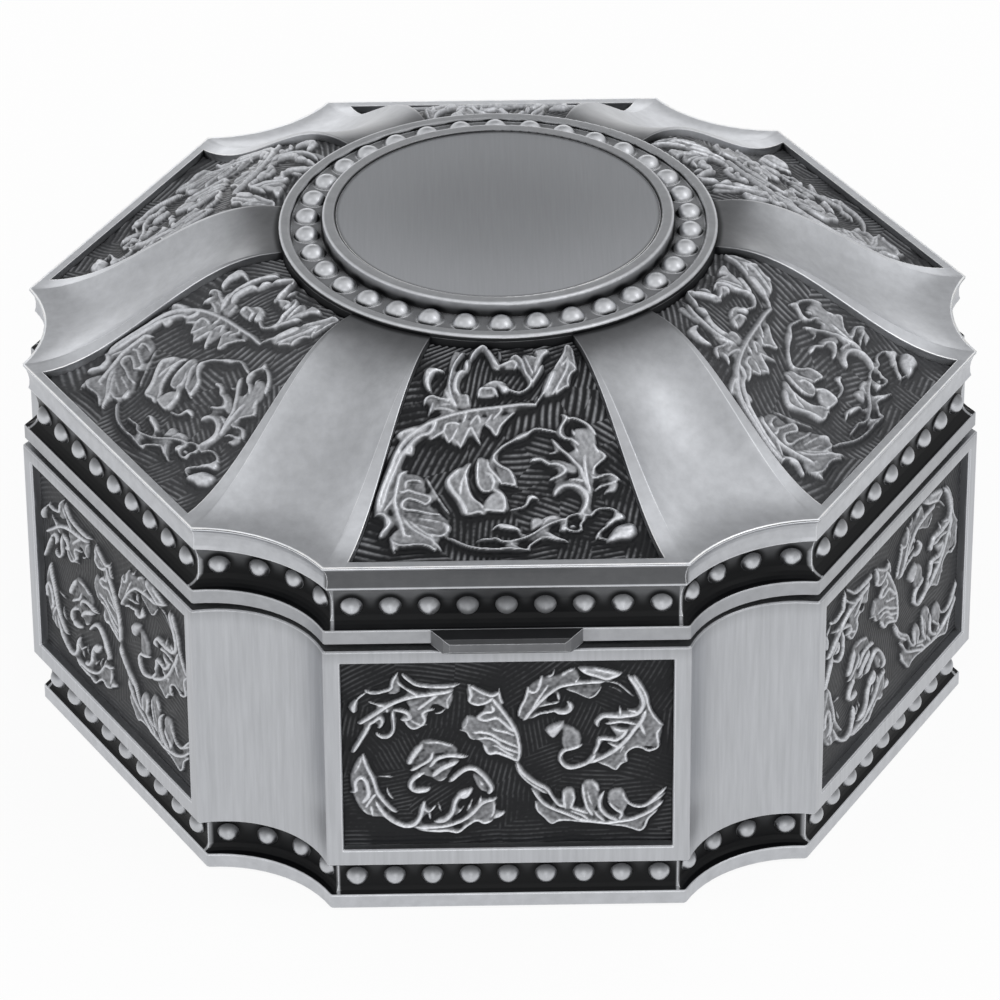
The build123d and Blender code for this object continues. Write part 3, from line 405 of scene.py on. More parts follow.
lidDesign = {
    "ridges": [
        # long stem from the left foot, under the spear leaf
        (0.6, 0.8, (-11.9, 6.5), (-11.65, 8.0), (-11.1, 9.6), (-10.55, 11.0), (-10.1, 12.2), (-9.4, 13.4),
         (-8.4, 14.35), (-7.0, 15.25), (-5.5, 15.85), (-4.0, 16.25), (-2.4, 16.55), (-0.2, 16.8),
         (1.5, 17.0), (2.95, 17.0)),
        (0.6, 0.8, (-11.4, 7.2), (-10.9, 9.0), (-10.15, 10.8), (-9.6, 12.0), (-8.7, 13.2), (-7.8, 14.0),
         (-6.9, 14.3), (-6.3, 15.3)),
        (0.5, 0.75, (-10.05, 14.1), (-9.2, 14.55), (-8.0, 14.9)),
        (0.55, 0.8, (-12.1, 6.1), (-11.5, 6.2), (-11.0, 5.8), (-10.75, 5.3), (-11.0, 4.7), (-11.4, 4.2),
         (-11.6, 3.7)),
        (0.5, 0.8, (-9.1, 10.6), (-9.75, 10.1), (-9.95, 9.3), (-10.1, 8.6), (-10.25, 7.4), (-10.05, 6.4),
         (-9.8, 5.4), (-9.55, 4.5), (-9.4, 3.75)),
        (0.35, 0.7, (-10.15, 8.2), (-10.7, 7.3), (-11.2, 6.6)),
        (0.45, 0.75, (-9.45, 3.85), (-8.9, 3.75)),
        (0.42, 0.8, (-9.5, 5.9), (-9.1, 5.05), (-8.5, 4.4), (-7.7, 3.8), (-6.9, 3.2), (-6.4, 2.6),
         (-6.05, 2.1)),
        (0.32, 0.7, (-9.0, 5.6), (-8.3, 4.8), (-7.3, 3.95), (-6.5, 3.1)),
        (0.45, 0.8, (-10.7, 3.4), (-10.2, 2.8), (-9.5, 2.55), (-8.7, 2.65), (-7.9, 2.7), (-7.2, 2.5),
         (-6.65, 2.1)),
        (0.35, 0.65, (-10.75, 3.8), (-10.5, 2.8), (-10.35, 2.0)),
        # finger loops
        (0.4, 0.8, (-9.25, 8.7), (-9.15, 9.45), (-8.5, 9.6), (-7.8, 9.5)),
        (0.42, 0.8, (-9.85, 8.6), (-9.4, 8.4), (-9.0, 8.6), (-8.3, 8.35), (-7.5, 8.1), (-7.0, 7.9),
         (-6.95, 7.5), (-7.35, 7.15), (-7.8, 7.35), (-8.3, 7.6), (-9.0, 7.75), (-9.5, 7.4), (-9.6, 6.9),
         (-9.2, 6.6), (-8.5, 6.55), (-7.7, 6.35), (-6.9, 6.15), (-6.1, 6.1)),
        (0.3, 0.6, (-8.3, 5.75), (-7.2, 5.55), (-5.8, 5.25)),
        (0.3, 0.6, (-8.6, 5.2), (-7.3, 4.75), (-6.4, 4.45)),
        (0.7, 0.8, (-5.75, 5.25), (-5.4, 4.8), (-5.3, 4.3)),
        (0.42, 0.75, (-7.4, 4.05), (-6.7, 3.8), (-5.9, 3.7), (-5.55, 4.1)),
        (0.35, 0.55, (-5.2, 6.2), (-5.9, 7.3), (-6.7, 8.7), (-7.3, 9.9)),
        # foot strand
        (0.42, 0.8, (-5.35, 3.6), (-4.7, 3.1), (-3.9, 2.6), (-3.1, 2.25), (-2.2, 2.05), (-0.9, 1.95),
         (0.3, 2.05), (1.0, 1.95), (1.7, 1.9)),
        (0.38, 0.8, (-2.75, 3.15), (-1.7, 3.2), (-0.8, 3.3), (-0.4, 3.0), (0.3, 2.9), (1.0, 3.1), (1.9, 3.4),
         (2.7, 3.9), (3.3, 4.35), (4.0, 4.8), (4.9, 5.2), (5.6, 5.45)),
        (0.33, 0.7, (0.4, 2.8), (1.0, 2.3), (1.5, 1.95), (2.1, 1.95), (2.15, 2.4), (2.7, 2.9), (3.3, 3.4)),
        (0.42, 0.75, (3.6, 4.1), (4.2, 3.7), (4.9, 3.2), (5.7, 2.95)),
        (0.33, 0.7, (3.2, 3.55), (4.0, 3.4), (4.9, 3.0)),
        (0.33, 0.65, (3.3, 5.4), (4.1, 5.7), (4.9, 5.8)),
        (0.3, 0.6, (3.4, 4.6), (3.9, 5.4), (5.0, 5.6)),
        (0.33, 0.75, (5.55, 5.2), (5.9, 5.7), (6.6, 5.95), (7.1, 5.95)),
        (0.7, 0.8, (7.1, 5.95), (7.55, 6.9), (7.65, 7.8), (7.2, 8.5), (6.4, 8.9), (5.5, 8.85), (4.95, 8.5),
         (4.7, 8.0)),
        (0.33, 0.7, (7.35, 5.9), (7.25, 5.2), (7.0, 4.9), (7.0, 4.2), (6.5, 4.1), (5.9, 4.2), (5.6, 4.6),
         (5.65, 5.2)),
        (0.33, 0.75, (7.1, 5.9), (8.0, 5.8), (8.4, 6.3), (9.0, 6.55), (9.8, 6.5), (10.5, 6.2)),
        (0.42, 0.8, (10.3, 5.2), (9.4, 4.5), (8.75, 3.9), (8.45, 3.3)),
        (0.3, 0.7, (8.5, 3.3), (9.3, 3.2)),
        (0.38, 0.75, (0.5, 6.55), (1.2, 6.6), (1.8, 6.8), (2.1, 7.2), (2.2, 7.9)),
        (0.45, 0.8, (-1.15, 4.5), (-0.5, 4.85), (0.3, 4.75), (1.3, 4.2)),
        (0.35, 0.6, (1.2, 4.0), (1.8, 3.8)),
        # middle scroll
        (0.65, 0.8, (-4.1, 10.8), (-4.8, 10.1), (-5.25, 9.5), (-5.0, 8.7), (-4.6, 8.1), (-4.1, 7.4),
         (-3.8, 6.7), (-3.7, 6.1)),
        (0.35, 0.75, (-3.1, 11.3), (-3.5, 10.6), (-3.8, 9.8), (-4.1, 9.1), (-4.15, 8.2)),
        (0.38, 0.75, (-3.6, 10.3), (-3.55, 9.3), (-3.3, 8.3), (-2.9, 7.6), (-2.3, 7.1), (-2.0, 6.6)),
        (0.38, 0.75, (-2.4, 11.8), (-2.5, 10.8), (-2.55, 9.8), (-2.35, 8.9), (-1.9, 8.4), (-1.35, 8.5)),
        (0.42, 0.8, (-1.8, 10.4), (-1.3, 10.0), (-1.0, 9.3), (-1.2, 8.6)),
        (0.35, 0.75, (-1.6, 11.7), (-1.5, 10.9), (-1.1, 10.3), (-0.6, 9.7), (-0.3, 9.2)),
        (0.42, 0.8, (-0.6, 12.5), (-1.0, 11.9), (-0.9, 11.4), (-0.3, 10.9), (0.3, 10.6), (0.7, 10.1),
         (0.9, 9.5), (1.0, 8.9)),
        (0.4, 0.75, (-0.3, 9.2), (0.3, 9.15), (1.1, 8.9)),
        (0.5, 0.8, (-1.0, 8.6), (-0.5, 8.3), (-0.1, 7.8), (0.0, 7.0), (-0.1, 6.3)),
        (0.55, 0.8, (-3.75, 6.1), (-3.1, 6.1), (-2.5, 6.3), (-2.1, 6.1)),
        (0.45, 0.75, (-2.0, 6.55), (-1.2, 6.4), (-0.2, 6.35)),
        (0.42, 0.8, (-1.0, 11.9), (-0.5, 12.5), (0.0, 12.95), (0.8, 13.4), (1.5, 13.8), (2.2, 14.1),
         (3.0, 14.6), (4.0, 14.45), (4.8, 14.3)),
        (0.7, 0.8, (0.9, 13.5), (1.6, 13.8), (2.3, 14.15)),
        # right leaf
        (0.42, 0.8, (4.5, 13.6), (4.8, 13.1), (5.3, 12.5), (5.9, 12.0), (6.5, 11.3), (7.1, 10.6), (7.4, 9.7),
         (7.8, 8.8), (8.0, 8.2)),
        (0.45, 0.8, (7.5, 12.0), (7.5, 11.1), (7.6, 10.2), (7.75, 9.3), (7.95, 8.5)),
        (0.35, 0.7, (8.7, 12.5), (9.45, 11.8), (9.0, 11.3), (8.4, 10.7), (8.25, 10.1)),
        (0.42, 0.8, (8.0, 10.0), (8.4, 9.6), (9.0, 9.8), (9.7, 10.0), (10.2, 9.8), (10.75, 9.35)),
        (0.38, 0.7, (8.4, 8.4), (9.0, 8.8), (9.7, 9.0), (10.5, 9.3)),
        (0.5, 0.8, (3.0, 11.8), (3.7, 11.4), (4.2, 11.05), (4.9, 11.05), (5.6, 10.7), (5.7, 10.3),
         (5.1, 9.85), (4.3, 9.5)),
        (0.38, 0.65, (4.2, 12.15), (4.9, 12.3)),
        (0.38, 0.75, (6.1, 9.6), (6.7, 9.5), (7.4, 9.3)),
        (0.42, 0.8, (5.45, 16.1), (5.9, 15.7), (5.65, 15.2), (5.3, 14.6), (5.3, 14.0), (5.7, 13.6),
         (6.3, 13.5), (6.9, 13.0)),
        (0.42, 0.8, (5.9, 15.6), (6.6, 15.6), (7.3, 15.3), (7.9, 14.9), (8.3, 14.4), (8.6, 13.9)),
        (0.42, 0.75, (6.4, 14.5), (6.6, 14.0)),
        (0.38, 0.7, (6.6, 12.9), (6.85, 12.2)),
        (0.4, 0.75, (8.3, 13.2), (8.75, 12.2)),
        # spear leaf
        (0.35, 0.8, (2.95, 17.0), (3.4, 17.6), (3.9, 18.4)),
        (0.85, 0.8, (3.9, 18.2), (4.3, 19.2), (4.8, 20.5)),
        (0.38, 0.75, (4.8, 20.7), (5.4, 21.8), (5.85, 22.8), (6.0, 23.7), (6.4, 24.0)),
        (0.3, 0.6, (6.5, 23.9), (6.6, 23.2), (6.7, 22.2), (6.85, 21.0)),
        (0.45, 0.8, (6.2, 22.2), (6.1, 21.0), (5.7, 20.0), (5.2, 19.0), (4.7, 18.1)),
        (0.35, 0.75, (6.2, 21.9), (6.6, 21.3), (6.95, 20.8)),
        (0.38, 0.75, (6.9, 20.8), (6.4, 20.3), (6.1, 19.6), (6.15, 18.9)),
        (0.42, 0.75, (6.1, 19.1), (5.6, 18.7), (5.0, 18.2)),
        (0.33, 0.7, (5.4, 21.1), (6.0, 21.8), (6.2, 22.4)),
        # head of the panel
        (0.45, 0.8, (-3.0, 22.1), (-2.5, 23.1), (-1.8, 23.8), (-1.3, 23.3)),
        (0.6, 0.8, (-1.5, 23.5), (-1.05, 22.6), (-0.75, 21.8), (-0.5, 21.3)),
        (0.55, 0.8, (-0.5, 21.3), (0.0, 21.25), (0.4, 21.5), (1.0, 21.75), (1.3, 21.4), (1.2, 21.0)),
        (0.35, 0.7, (-0.9, 21.3), (-0.5, 20.9)),
        (0.28, 0.65, (-0.4, 23.5), (-0.2, 22.8), (-0.2, 22.1)),
        (0.42, 0.8, (0.7, 22.3), (1.3, 22.4), (1.8, 21.8), (2.0, 21.0), (2.2, 20.3), (2.6, 19.7),
         (2.6, 19.1), (2.2, 18.6), (1.6, 18.3), (1.0, 18.4), (0.5, 18.7)),
        (0.5, 0.65, (-1.7, 19.1), (-0.8, 19.5), (0.2, 19.3)),
        (0.5, 0.8, (-2.3, 17.9), (-2.1, 18.7), (-1.4, 18.75), (-0.9, 18.7), (-0.55, 18.0)),
        (0.33, 0.7, (2.0, 22.7), (2.4, 21.5), (2.8, 20.4)),
        (0.33, 0.65, (2.5, 22.7), (3.3, 22.1)),
        (0.5, 0.8, (3.8, 21.4), (3.5, 20.7), (3.1, 19.9), (2.85, 19.4)),
        (0.38, 0.75, (-3.5, 23.2), (-4.1, 22.3), (-4.6, 21.3), (-4.9, 20.2), (-5.05, 19.2), (-4.9, 18.2),
         (-4.6, 17.4), (-4.4, 17.0)),
        (0.65, 0.8, (-3.3, 22.1), (-3.35, 21.0)),
        (0.65, 0.8, (-3.4, 20.7), (-4.0, 20.5), (-4.4, 19.6), (-4.45, 18.7), (-4.15, 18.2)),
        (0.38, 0.65, (-4.0, 18.2), (-3.35, 18.1), (-3.3, 17.2)),
        (0.42, 0.8, (-7.4, 17.2), (-7.2, 17.8), (-6.6, 18.05), (-6.0, 17.8), (-5.1, 17.6)),
        (0.38, 0.75, (-7.0, 16.1), (-6.7, 16.9), (-6.6, 17.4)),
        (0.38, 0.7, (-6.5, 16.8), (-5.4, 16.75), (-4.5, 16.4)),
        (0.33, 0.6, (-6.0, 17.2), (-5.0, 17.2)),
        (0.5, 0.7, (-5.45, 18.8), (-5.1, 18.0), (-4.6, 17.1)),
        # scalloped leaf under the stem
        (0.42, 0.75, (-6.8, 13.7), (-6.0, 14.2), (-5.6, 14.5), (-5.4, 15.1), (-4.8, 15.3), (-4.2, 15.2)),
        (0.35, 0.7, (-5.6, 14.5), (-5.4, 13.9), (-5.1, 13.4), (-4.6, 14.2), (-4.3, 14.8)),
        (0.38, 0.7, (-3.8, 15.2), (-3.6, 15.8), (-3.4, 16.2)),
        (0.38, 0.75, (-3.2, 15.0), (-2.8, 15.6), (-2.4, 16.0), (-2.2, 15.4)),
        (0.42, 0.75, (-4.05, 12.8), (-3.6, 13.9), (-3.1, 14.8), (-2.7, 14.1), (-2.25, 13.2)),
        (0.35, 0.7, (-4.6, 13.8), (-4.1, 12.9)),
        (0.42, 0.7, (-1.8, 15.2), (-1.4, 15.6), (-1.1, 16.1)),
        (0.36, 0.7, (-1.8, 15.2), (-1.2, 14.7), (-0.7, 14.0), (-0.4, 14.8), (0.2, 15.5), (1.0, 16.3)),
        (0.32, 0.7, (0.0, 16.9), (-0.25, 16.4), (-0.9, 15.7)),
    ],
    "bodies": [
        (0.7, 0.35, (-12.0, 6.4), (-11.0, 9.8), (-10.2, 12.2), (-8.4, 13.2), (-8.6, 12.0), (-9.9, 11.9),
         (-10.6, 9.4), (-11.2, 6.8)),
        (0.55, 0.3, (-10.1, 14.1), (-8.0, 15.0), (-6.5, 15.2), (-7.8, 14.0), (-9.2, 13.4)),
        (0.8, 0.5, (-11.3, 5.9), (-10.6, 5.6), (-10.7, 4.9), (-11.2, 4.9)),
        (0.45, 0.3, (-10.7, 3.9), (-9.6, 4.8), (-7.6, 3.7), (-6.2, 2.1), (-8.0, 2.7), (-9.6, 2.5),
         (-10.4, 2.2)),
        (0.35, 0.3, (-9.7, 10.2), (-7.6, 10.0), (-7.0, 7.4), (-5.2, 5.4), (-5.4, 4.0), (-7.4, 4.0),
         (-9.4, 5.8), (-9.8, 7.6)),
        (0.8, 0.5, (-0.8, 4.6), (0.5, 5.0), (1.5, 4.4), (1.1, 4.1), (0.1, 4.2)),
        (0.55, 0.35, (2.4, 5.7), (3.3, 5.7), (3.7, 5.2), (3.1, 4.6), (2.4, 4.3)),
        (0.8, 0.5, (5.2, 5.1), (5.8, 4.6), (5.6, 3.9), (5.0, 4.2)),
        (0.55, 0.25, (6.0, 4.9), (6.5, 4.9), (6.5, 4.5), (6.0, 4.5)),
        (0.75, 0.4, (10.2, 6.3), (11.1, 5.9), (11.1, 5.2), (10.3, 4.9), (9.4, 4.6), (9.3, 5.0), (10.0, 5.7)),
        (0.95, 1.0, (9.3, 2.9), (9.9, 2.6), (10.7, 2.8), (11.6, 2.9), (12.2, 3.6), (12.2, 4.5), (11.8, 5.0),
         (11.0, 4.95), (10.2, 4.6), (9.6, 3.7)),
        (0.8, 0.5, (2.2, 8.1), (2.9, 8.0), (3.2, 7.5), (2.6, 7.4), (2.0, 7.0)),
        (0.5, 0.35, (-5.2, 9.6), (-4.1, 10.9), (-3.1, 11.4), (-3.4, 9.4), (-2.9, 7.7), (-2.1, 6.3),
         (-3.8, 6.1), (-4.4, 7.8)),
        (0.6, 0.35, (-2.1, 7.0), (-1.4, 8.2), (-0.4, 8.3), (0.0, 7.5), (0.0, 6.3), (-1.6, 6.3)),
        (0.45, 0.3, (-2.5, 11.8), (-1.6, 11.7), (-0.9, 10.3), (-0.8, 8.8), (-1.9, 8.4), (-2.6, 9.6)),
        (0.4, 0.3, (-0.9, 11.4), (0.6, 10.3), (1.0, 9.0), (-0.3, 9.2)),
        (0.8, 0.45, (2.4, 11.7), (3.2, 11.9), (3.6, 11.4), (3.0, 11.2), (2.5, 11.2)),
        (0.5, 0.35, (4.3, 11.6), (5.5, 11.5), (6.7, 10.9), (6.7, 10.1), (5.6, 10.2), (5.5, 10.9),
         (4.6, 11.0)),
        (0.5, 0.35, (6.0, 12.3), (7.4, 12.9), (8.6, 12.7), (9.3, 11.8), (8.3, 10.6), (8.0, 8.4), (7.6, 9.0),
         (7.1, 10.8), (6.2, 11.8)),
        (0.55, 0.35, (9.2, 8.1), (10.3, 8.2), (10.6, 9.2), (9.8, 8.9)),
        (0.5, 0.35, (6.6, 14.6), (7.8, 14.7), (8.5, 14.0), (8.7, 13.0), (8.2, 12.3), (7.2, 12.3),
         (6.6, 13.2)),
        (0.5, 0.35, (3.8, 18.0), (4.8, 20.8), (5.9, 23.0), (6.3, 24.0), (6.7, 22.0), (6.9, 20.8),
         (6.1, 19.2), (5.0, 18.1)),
        (0.8, 0.5, (-0.7, 19.5), (0.1, 19.3), (0.7, 18.9), (0.5, 18.2), (0.0, 18.1), (-0.3, 18.5)),
        (0.5, 0.35, (-2.3, 17.8), (-2.1, 18.6), (-0.9, 18.6), (-0.6, 17.9)),
        (0.55, 0.35, (-0.3, 21.2), (1.2, 21.6), (1.2, 21.0), (-0.1, 20.9)),
        (0.7, 0.35, (3.0, 23.2), (4.3, 23.5), (4.5, 22.9), (3.9, 22.2), (3.7, 21.6), (3.0, 20.2),
         (2.8, 21.2), (3.1, 22.4)),
        (0.45, 0.3, (1.8, 22.7), (2.5, 22.9), (3.2, 22.2), (2.9, 20.4), (2.2, 20.4), (2.0, 21.4)),
        (0.45, 0.3, (-5.1, 21.0), (-4.8, 22.7), (-4.4, 23.6), (-3.8, 23.3), (-4.4, 22.0), (-4.8, 20.6)),
        (0.45, 0.3, (-4.3, 18.1), (-3.2, 18.1), (-3.0, 16.9), (-4.4, 16.8)),
        (0.8, 0.5, (-7.1, 18.5), (-7.5, 19.6), (-7.3, 21.0), (-6.5, 21.3), (-5.4, 20.9), (-5.5, 20.6),
         (-6.3, 20.4), (-6.7, 19.5), (-6.6, 18.5)),
        (0.45, 0.3, (-5.5, 15.0), (-4.0, 15.6), (-2.3, 16.0), (-1.0, 16.0), (0.9, 16.3), (0.2, 15.2),
         (-0.7, 14.2), (-1.8, 15.0), (-2.4, 13.4), (-3.1, 14.7), (-4.0, 12.9), (-5.1, 13.5)),
        (0.4, 0.3, (-7.2, 17.6), (-6.4, 18.0), (-5.0, 17.6), (-4.6, 16.9), (-6.4, 16.7)),
    ],
    "hatch": [
        ((-12.9, 4.6), -12, 0.85), ((-12.9, 2.2), -14, 0.85), ((-12.6, 7.6), 70, 0.6), ((-8.4, 1.2), 4, 0.6),
        ((-6.8, 11.4), 66, 0.65), ((-4.8, 12.6), 62, 0.6), ((-2.0, 12.9), 58, 0.6), ((-6.3, 9.2), 62, 0.6),
        ((-5.4, 7.4), -58, 0.6), ((-4.2, 4.4), 86, 0.6), ((-1.8, 4.3), 84, 0.55), ((3.0, 10.0), -6, 0.6),
        ((3.6, 8.8), -12, 0.6), ((4.0, 7.0), -24, 0.6), ((6.2, 7.0), -20, 0.55), ((3.2, 12.6), -20, 0.6),
        ((9.6, 14.2), -36, 0.6), ((10.2, 12.4), -42, 0.6), ((6.6, 1.4), 78, 0.55), ((3.0, 1.2), 12, 0.6),
        ((9.4, 1.6), 10, 0.6), ((12.6, 2.0), 80, 0.6), ((11.4, 7.4), 76, 0.6), ((8.6, 5.2), -16, 0.55),
        ((7.1, 17.6), 84, 0.75), ((4.4, 15.9), 86, 0.7), ((2.0, 15.4), 80, 0.7), ((8.6, 16.8), 78, 0.7),
        ((-8.6, 16.4), 8, 0.75), ((-9.1, 18.2), 4, 0.75), ((-7.9, 22.2), 40, 0.6), ((-2.0, 20.6), 78, 0.5),
        ((-5.8, 19.6), 60, 0.6), ((1.2, 19.6), 60, 0.55), ((0.9, 23.4), 20, 0.6), ((5.0, 23.6), 30, 0.6),
        ((7.6, 20.4), 80, 0.6), ((-6.2, 23.4), 36, 0.55), ((10.6, 10.4), -40, 0.6), ((1.4, 11.6), 4, 0.6),
    ],
}


# materials
metalFinish = {
    "pewter": "#BBBDC1",
    "brushed": "#B7B9BD",
    "wornEdge": "#E6E8EC",
    "ring": "#CCCED2",
    "plate": "#9C9EA2",
    "hinge": "#A0A2A6",
    "patina": "#0C0D0F",       # the black wash left in the hollows
    "shine": 0.15,             # specular level of the wash
    "edgeRound": 0.18 * mm,    # cast edges are worn round
    "ringRound": 0.42 * mm,
    # cosine of an edge's turn: where it starts to be bare, and where it is
    "edgeTurn": {"From Min": 0.995, "From Max": 0.93},
    # how bare a place is before its edges show bright
    "keptEdge": {"From Min": 0.02, "From Max": 0.2},
    # how open a place is before a hand reaches it
    "proud": {"From Min": 0.62, "From Max": 0.8},
    "cloudScale": 330,         # uneven wash, about 3 mm across
    "cloudShare": 0.1,
    "strokeScale": 14,
    "roughness": (0.46, 0.36),     # on the wash, and where it is rubbed bare
    "bumpDepth": 0.03 * mm,
}
reliefFinish = {
    "wash": "#0E0F12",
    "rubbed": "#E2E4E9",
    "speckScale": 2600,        # under half a millimetre
    "speckSpan": (0.3, 0.7),
    "speckTone": (0.8, 1.15),
}
coveWall = {                   # plan of the wall behind the beads, and how far apart they stand
    "sideHalfWidth": 16.2 * mm,
    "sideStep": 3.6 * mm,
    "fluteCentre": (27.1 * mm, 46.94 * mm, 0),
    "fluteStep": 0.3322,       # radians round the flute's centre
    "fluteInwards": (-0.5, -0.866, 0),
    "fluteAside": (-0.866, 0.5, 0),
    "beadRound": 1.07 * mm,
    "plinthCove": (1.58 * mm, 5.62 * mm),
    "lidCove": (32.46 * mm, 36.5 * mm),
    # how light the cove wall is left at its top, above the painted shadow at its foot
    "plinthTone": 0.1,
    "lidTone": 0.24,
    # the middle of the painted shadow round the thumb lift
    "liftPlace": (0, -43 * mm, 33 * mm),
}


def foldPlan(tree, place):
    # the six sides are alike, so the plan folds into half of one: out from the axis, and across
    half = math.radians(30)
    turn = addNode(tree, "ShaderNodeMath", {"operation": "ARCTAN2"},
                   links={0: place.outputs["Y"], 1: place.outputs["X"]}).outputs[0]
    shift = addNode(tree, "ShaderNodeMath", {"operation": "SUBTRACT"}, {1: half}, {0: turn})
    fold = addNode(tree, "ShaderNodeMath", {"operation": "PINGPONG"}, {1: half}, {0: shift.outputs[0]})
    flat = addNode(tree, "ShaderNodeCombineXYZ", links={"X": place.outputs["X"], "Y": place.outputs["Y"]})
    reach = addNode(tree, "ShaderNodeVectorMath", {"operation": "LENGTH"}, links={0: flat.outputs[0]})
    cosine = addNode(tree, "ShaderNodeMath", {"operation": "COSINE"}, links={0: fold.outputs[0]})
    sine = addNode(tree, "ShaderNodeMath", {"operation": "SINE"}, links={0: fold.outputs[0]})
    out = addNode(tree, "ShaderNodeMath", product,
                  links={0: reach.outputs["Value"], 1: cosine.outputs[0]}).outputs[0]
    across = addNode(tree, "ShaderNodeMath", product,
                     links={0: reach.outputs["Value"], 1: sine.outputs[0]}).outputs[0]
    return out, across


def beadReach(tree, place, middle, out, across):
    # how far a place is from the middle of the nearest bead, seen square to the wall
    plan = addNode(tree, "ShaderNodeCombineXYZ", links={"X": across, "Y": out})
    spoke = addNode(tree, "ShaderNodeVectorMath", {"operation": "SUBTRACT"}, {1: coveWall["fluteCentre"]},
                    {0: plan.outputs[0]})
    away = addNode(tree, "ShaderNodeVectorMath", {"operation": "LENGTH"}, links={0: spoke.outputs[0]})
    inwards = addNode(tree, "ShaderNodeVectorMath", {"operation": "DOT_PRODUCT"},
                      {1: coveWall["fluteInwards"]}, {0: spoke.outputs[0]})
    aside = addNode(tree, "ShaderNodeVectorMath", {"operation": "DOT_PRODUCT"}, {1: coveWall["fluteAside"]},
                    {0: spoke.outputs[0]})
    turn = addNode(tree, "ShaderNodeMath", {"operation": "ARCTAN2"},
                   links={0: aside.outputs["Value"], 1: inwards.outputs["Value"]}).outputs[0]
    half = coveWall["fluteStep"] / 2
    between = addNode(tree, "ShaderNodeMath", {"operation": "PINGPONG"}, {1: half}, {0: turn})
    off = addNode(tree, "ShaderNodeMath", {"operation": "SUBTRACT"}, {0: half}, {1: between.outputs[0]})
    curved = addNode(tree, "ShaderNodeMath", product,
                     links={0: off.outputs[0], 1: away.outputs["Value"]}).outputs[0]
    straight = addNode(tree, "ShaderNodeMath", {"operation": "PINGPONG"}, {1: coveWall["sideStep"] / 2},
                       {0: across})
    inFlute = addNode(tree, "ShaderNodeMath", {"operation": "GREATER_THAN"}, {1: coveWall["sideHalfWidth"]},
                      {0: across})
    level = addNode(tree, "ShaderNodeMix",
                    links={"Factor": inFlute.outputs[0], "A": straight.outputs[0], "B": curved})
    high = addNode(tree, "ShaderNodeMath", {"operation": "SUBTRACT"}, {1: middle}, {0: place.outputs["Z"]})
    both = addNode(tree, "ShaderNodeCombineXYZ", links={"X": level.outputs["Result"], "Y": high.outputs[0]})
    reach = addNode(tree, "ShaderNodeVectorMath", {"operation": "LENGTH"}, links={0: both.outputs[0]})
    return reach.outputs["Value"]


# the tables of wash and painted light hold what map ranges take: how bare a place is rubbed, and how much
# painted shade and light it takes, between two sizes
coveWashShade = {
    # the first four count from a bead's edge or from the cove's middle
    "beadEdge": (-0.06 * mm, -0.01 * mm, 1.0, 0.0),
    # painted shade: the upper part of each bead is darker
    "beadTopShade": (0.05 * mm, 1.0 * mm, 1.0, 0.34),
    # painted shadow: the cove wall is black at its foot and lighter towards its top
    "shadedWallFoot": -0.6 * mm,
    "wallGap": (0.05 * mm, 0.7 * mm),
    # painted highlight: a lighter line down each corner of the cove
    "corner": {"From Min": 0.05 * mm, "From Max": 0.24 * mm, "To Min": 0.6, "To Max": 0.0},
    # painted shadow, with wash, round the thumb lift
    "liftShadow": {"From Min": 3 * mm, "From Max": 9 * mm, "To Min": 0.5, "To Max": 1.0},
}


def coveWashAndShade(tree, place, cove, wallTone):
    # 0 where the wash and painted shade lie in a cove, 1 on the low side of its beads and below it: the
    # beads' tops and the wall's foot are painted darker as shade, and the cove's corners lighter as a painted
    # highlight
    middle = (cove[0] + cove[1]) / 2
    out, across = foldPlan(tree, place)
    reach = beadReach(tree, place, middle, out, across)
    edge = coveWall["beadRound"]
    start, end, low, high = coveWashShade["beadEdge"]
    onBead = addNode(tree, "ShaderNodeMapRange", smooth,
                     {"From Min": edge + start, "From Max": edge + end, "To Min": low, "To Max": high},
                     {"Value": reach}).outputs[0]
    start, end, low, high = coveWashShade["beadTopShade"]
    crown = addNode(tree, "ShaderNodeMapRange", smooth,
                    {"From Min": middle + start, "From Max": middle + end, "To Min": low, "To Max": high},
                    {"Value": place.outputs["Z"]}).outputs[0]
    foot = middle + coveWashShade["shadedWallFoot"]
    wall = addNode(tree, "ShaderNodeMapRange", smooth,
                   {"From Min": foot, "From Max": cove[1], "To Min": 0.0, "To Max": wallTone},
                   {"Value": place.outputs["Z"]}).outputs[0]
    start, end = coveWashShade["wallGap"]
    clear = addNode(tree, "ShaderNodeMapRange", smooth, {"From Min": edge + start, "From Max": edge + end},
                    {"Value": reach}).outputs[0]
    beadTone = addNode(tree, "ShaderNodeMath", product, links={0: onBead, 1: crown}).outputs[0]
    coveTone = addNode(tree, "ShaderNodeMath", product, links={0: wall, 1: clear}).outputs[0]
    inside = addNode(tree, "ShaderNodeMath", larger, links={0: beadTone, 1: coveTone}).outputs[0]
    aside = addNode(tree, "ShaderNodeMath", {"operation": "SUBTRACT"}, {1: coveWall["sideHalfWidth"]},
                    {0: across})
    far = addNode(tree, "ShaderNodeMath", {"operation": "ABSOLUTE"}, links={0: aside.outputs[0]})
    corner = addNode(tree, "ShaderNodeMapRange", smooth, coveWashShade["corner"],
                     {"Value": far.outputs[0]}).outputs[0]
    inside = addNode(tree, "ShaderNodeMath", larger, links={0: inside, 1: corner}).outputs[0]
    below = addNode(tree, "ShaderNodeMath", {"operation": "LESS_THAN"}, {1: cove[0]}, {0: place.outputs["Z"]})
    return addNode(tree, "ShaderNodeMath", larger, links={0: inside, 1: below.outputs[0]}).outputs[0]


def plinthWashAndShade(tree, place):
    return coveWashAndShade(tree, place, coveWall["plinthCove"], coveWall["plinthTone"])


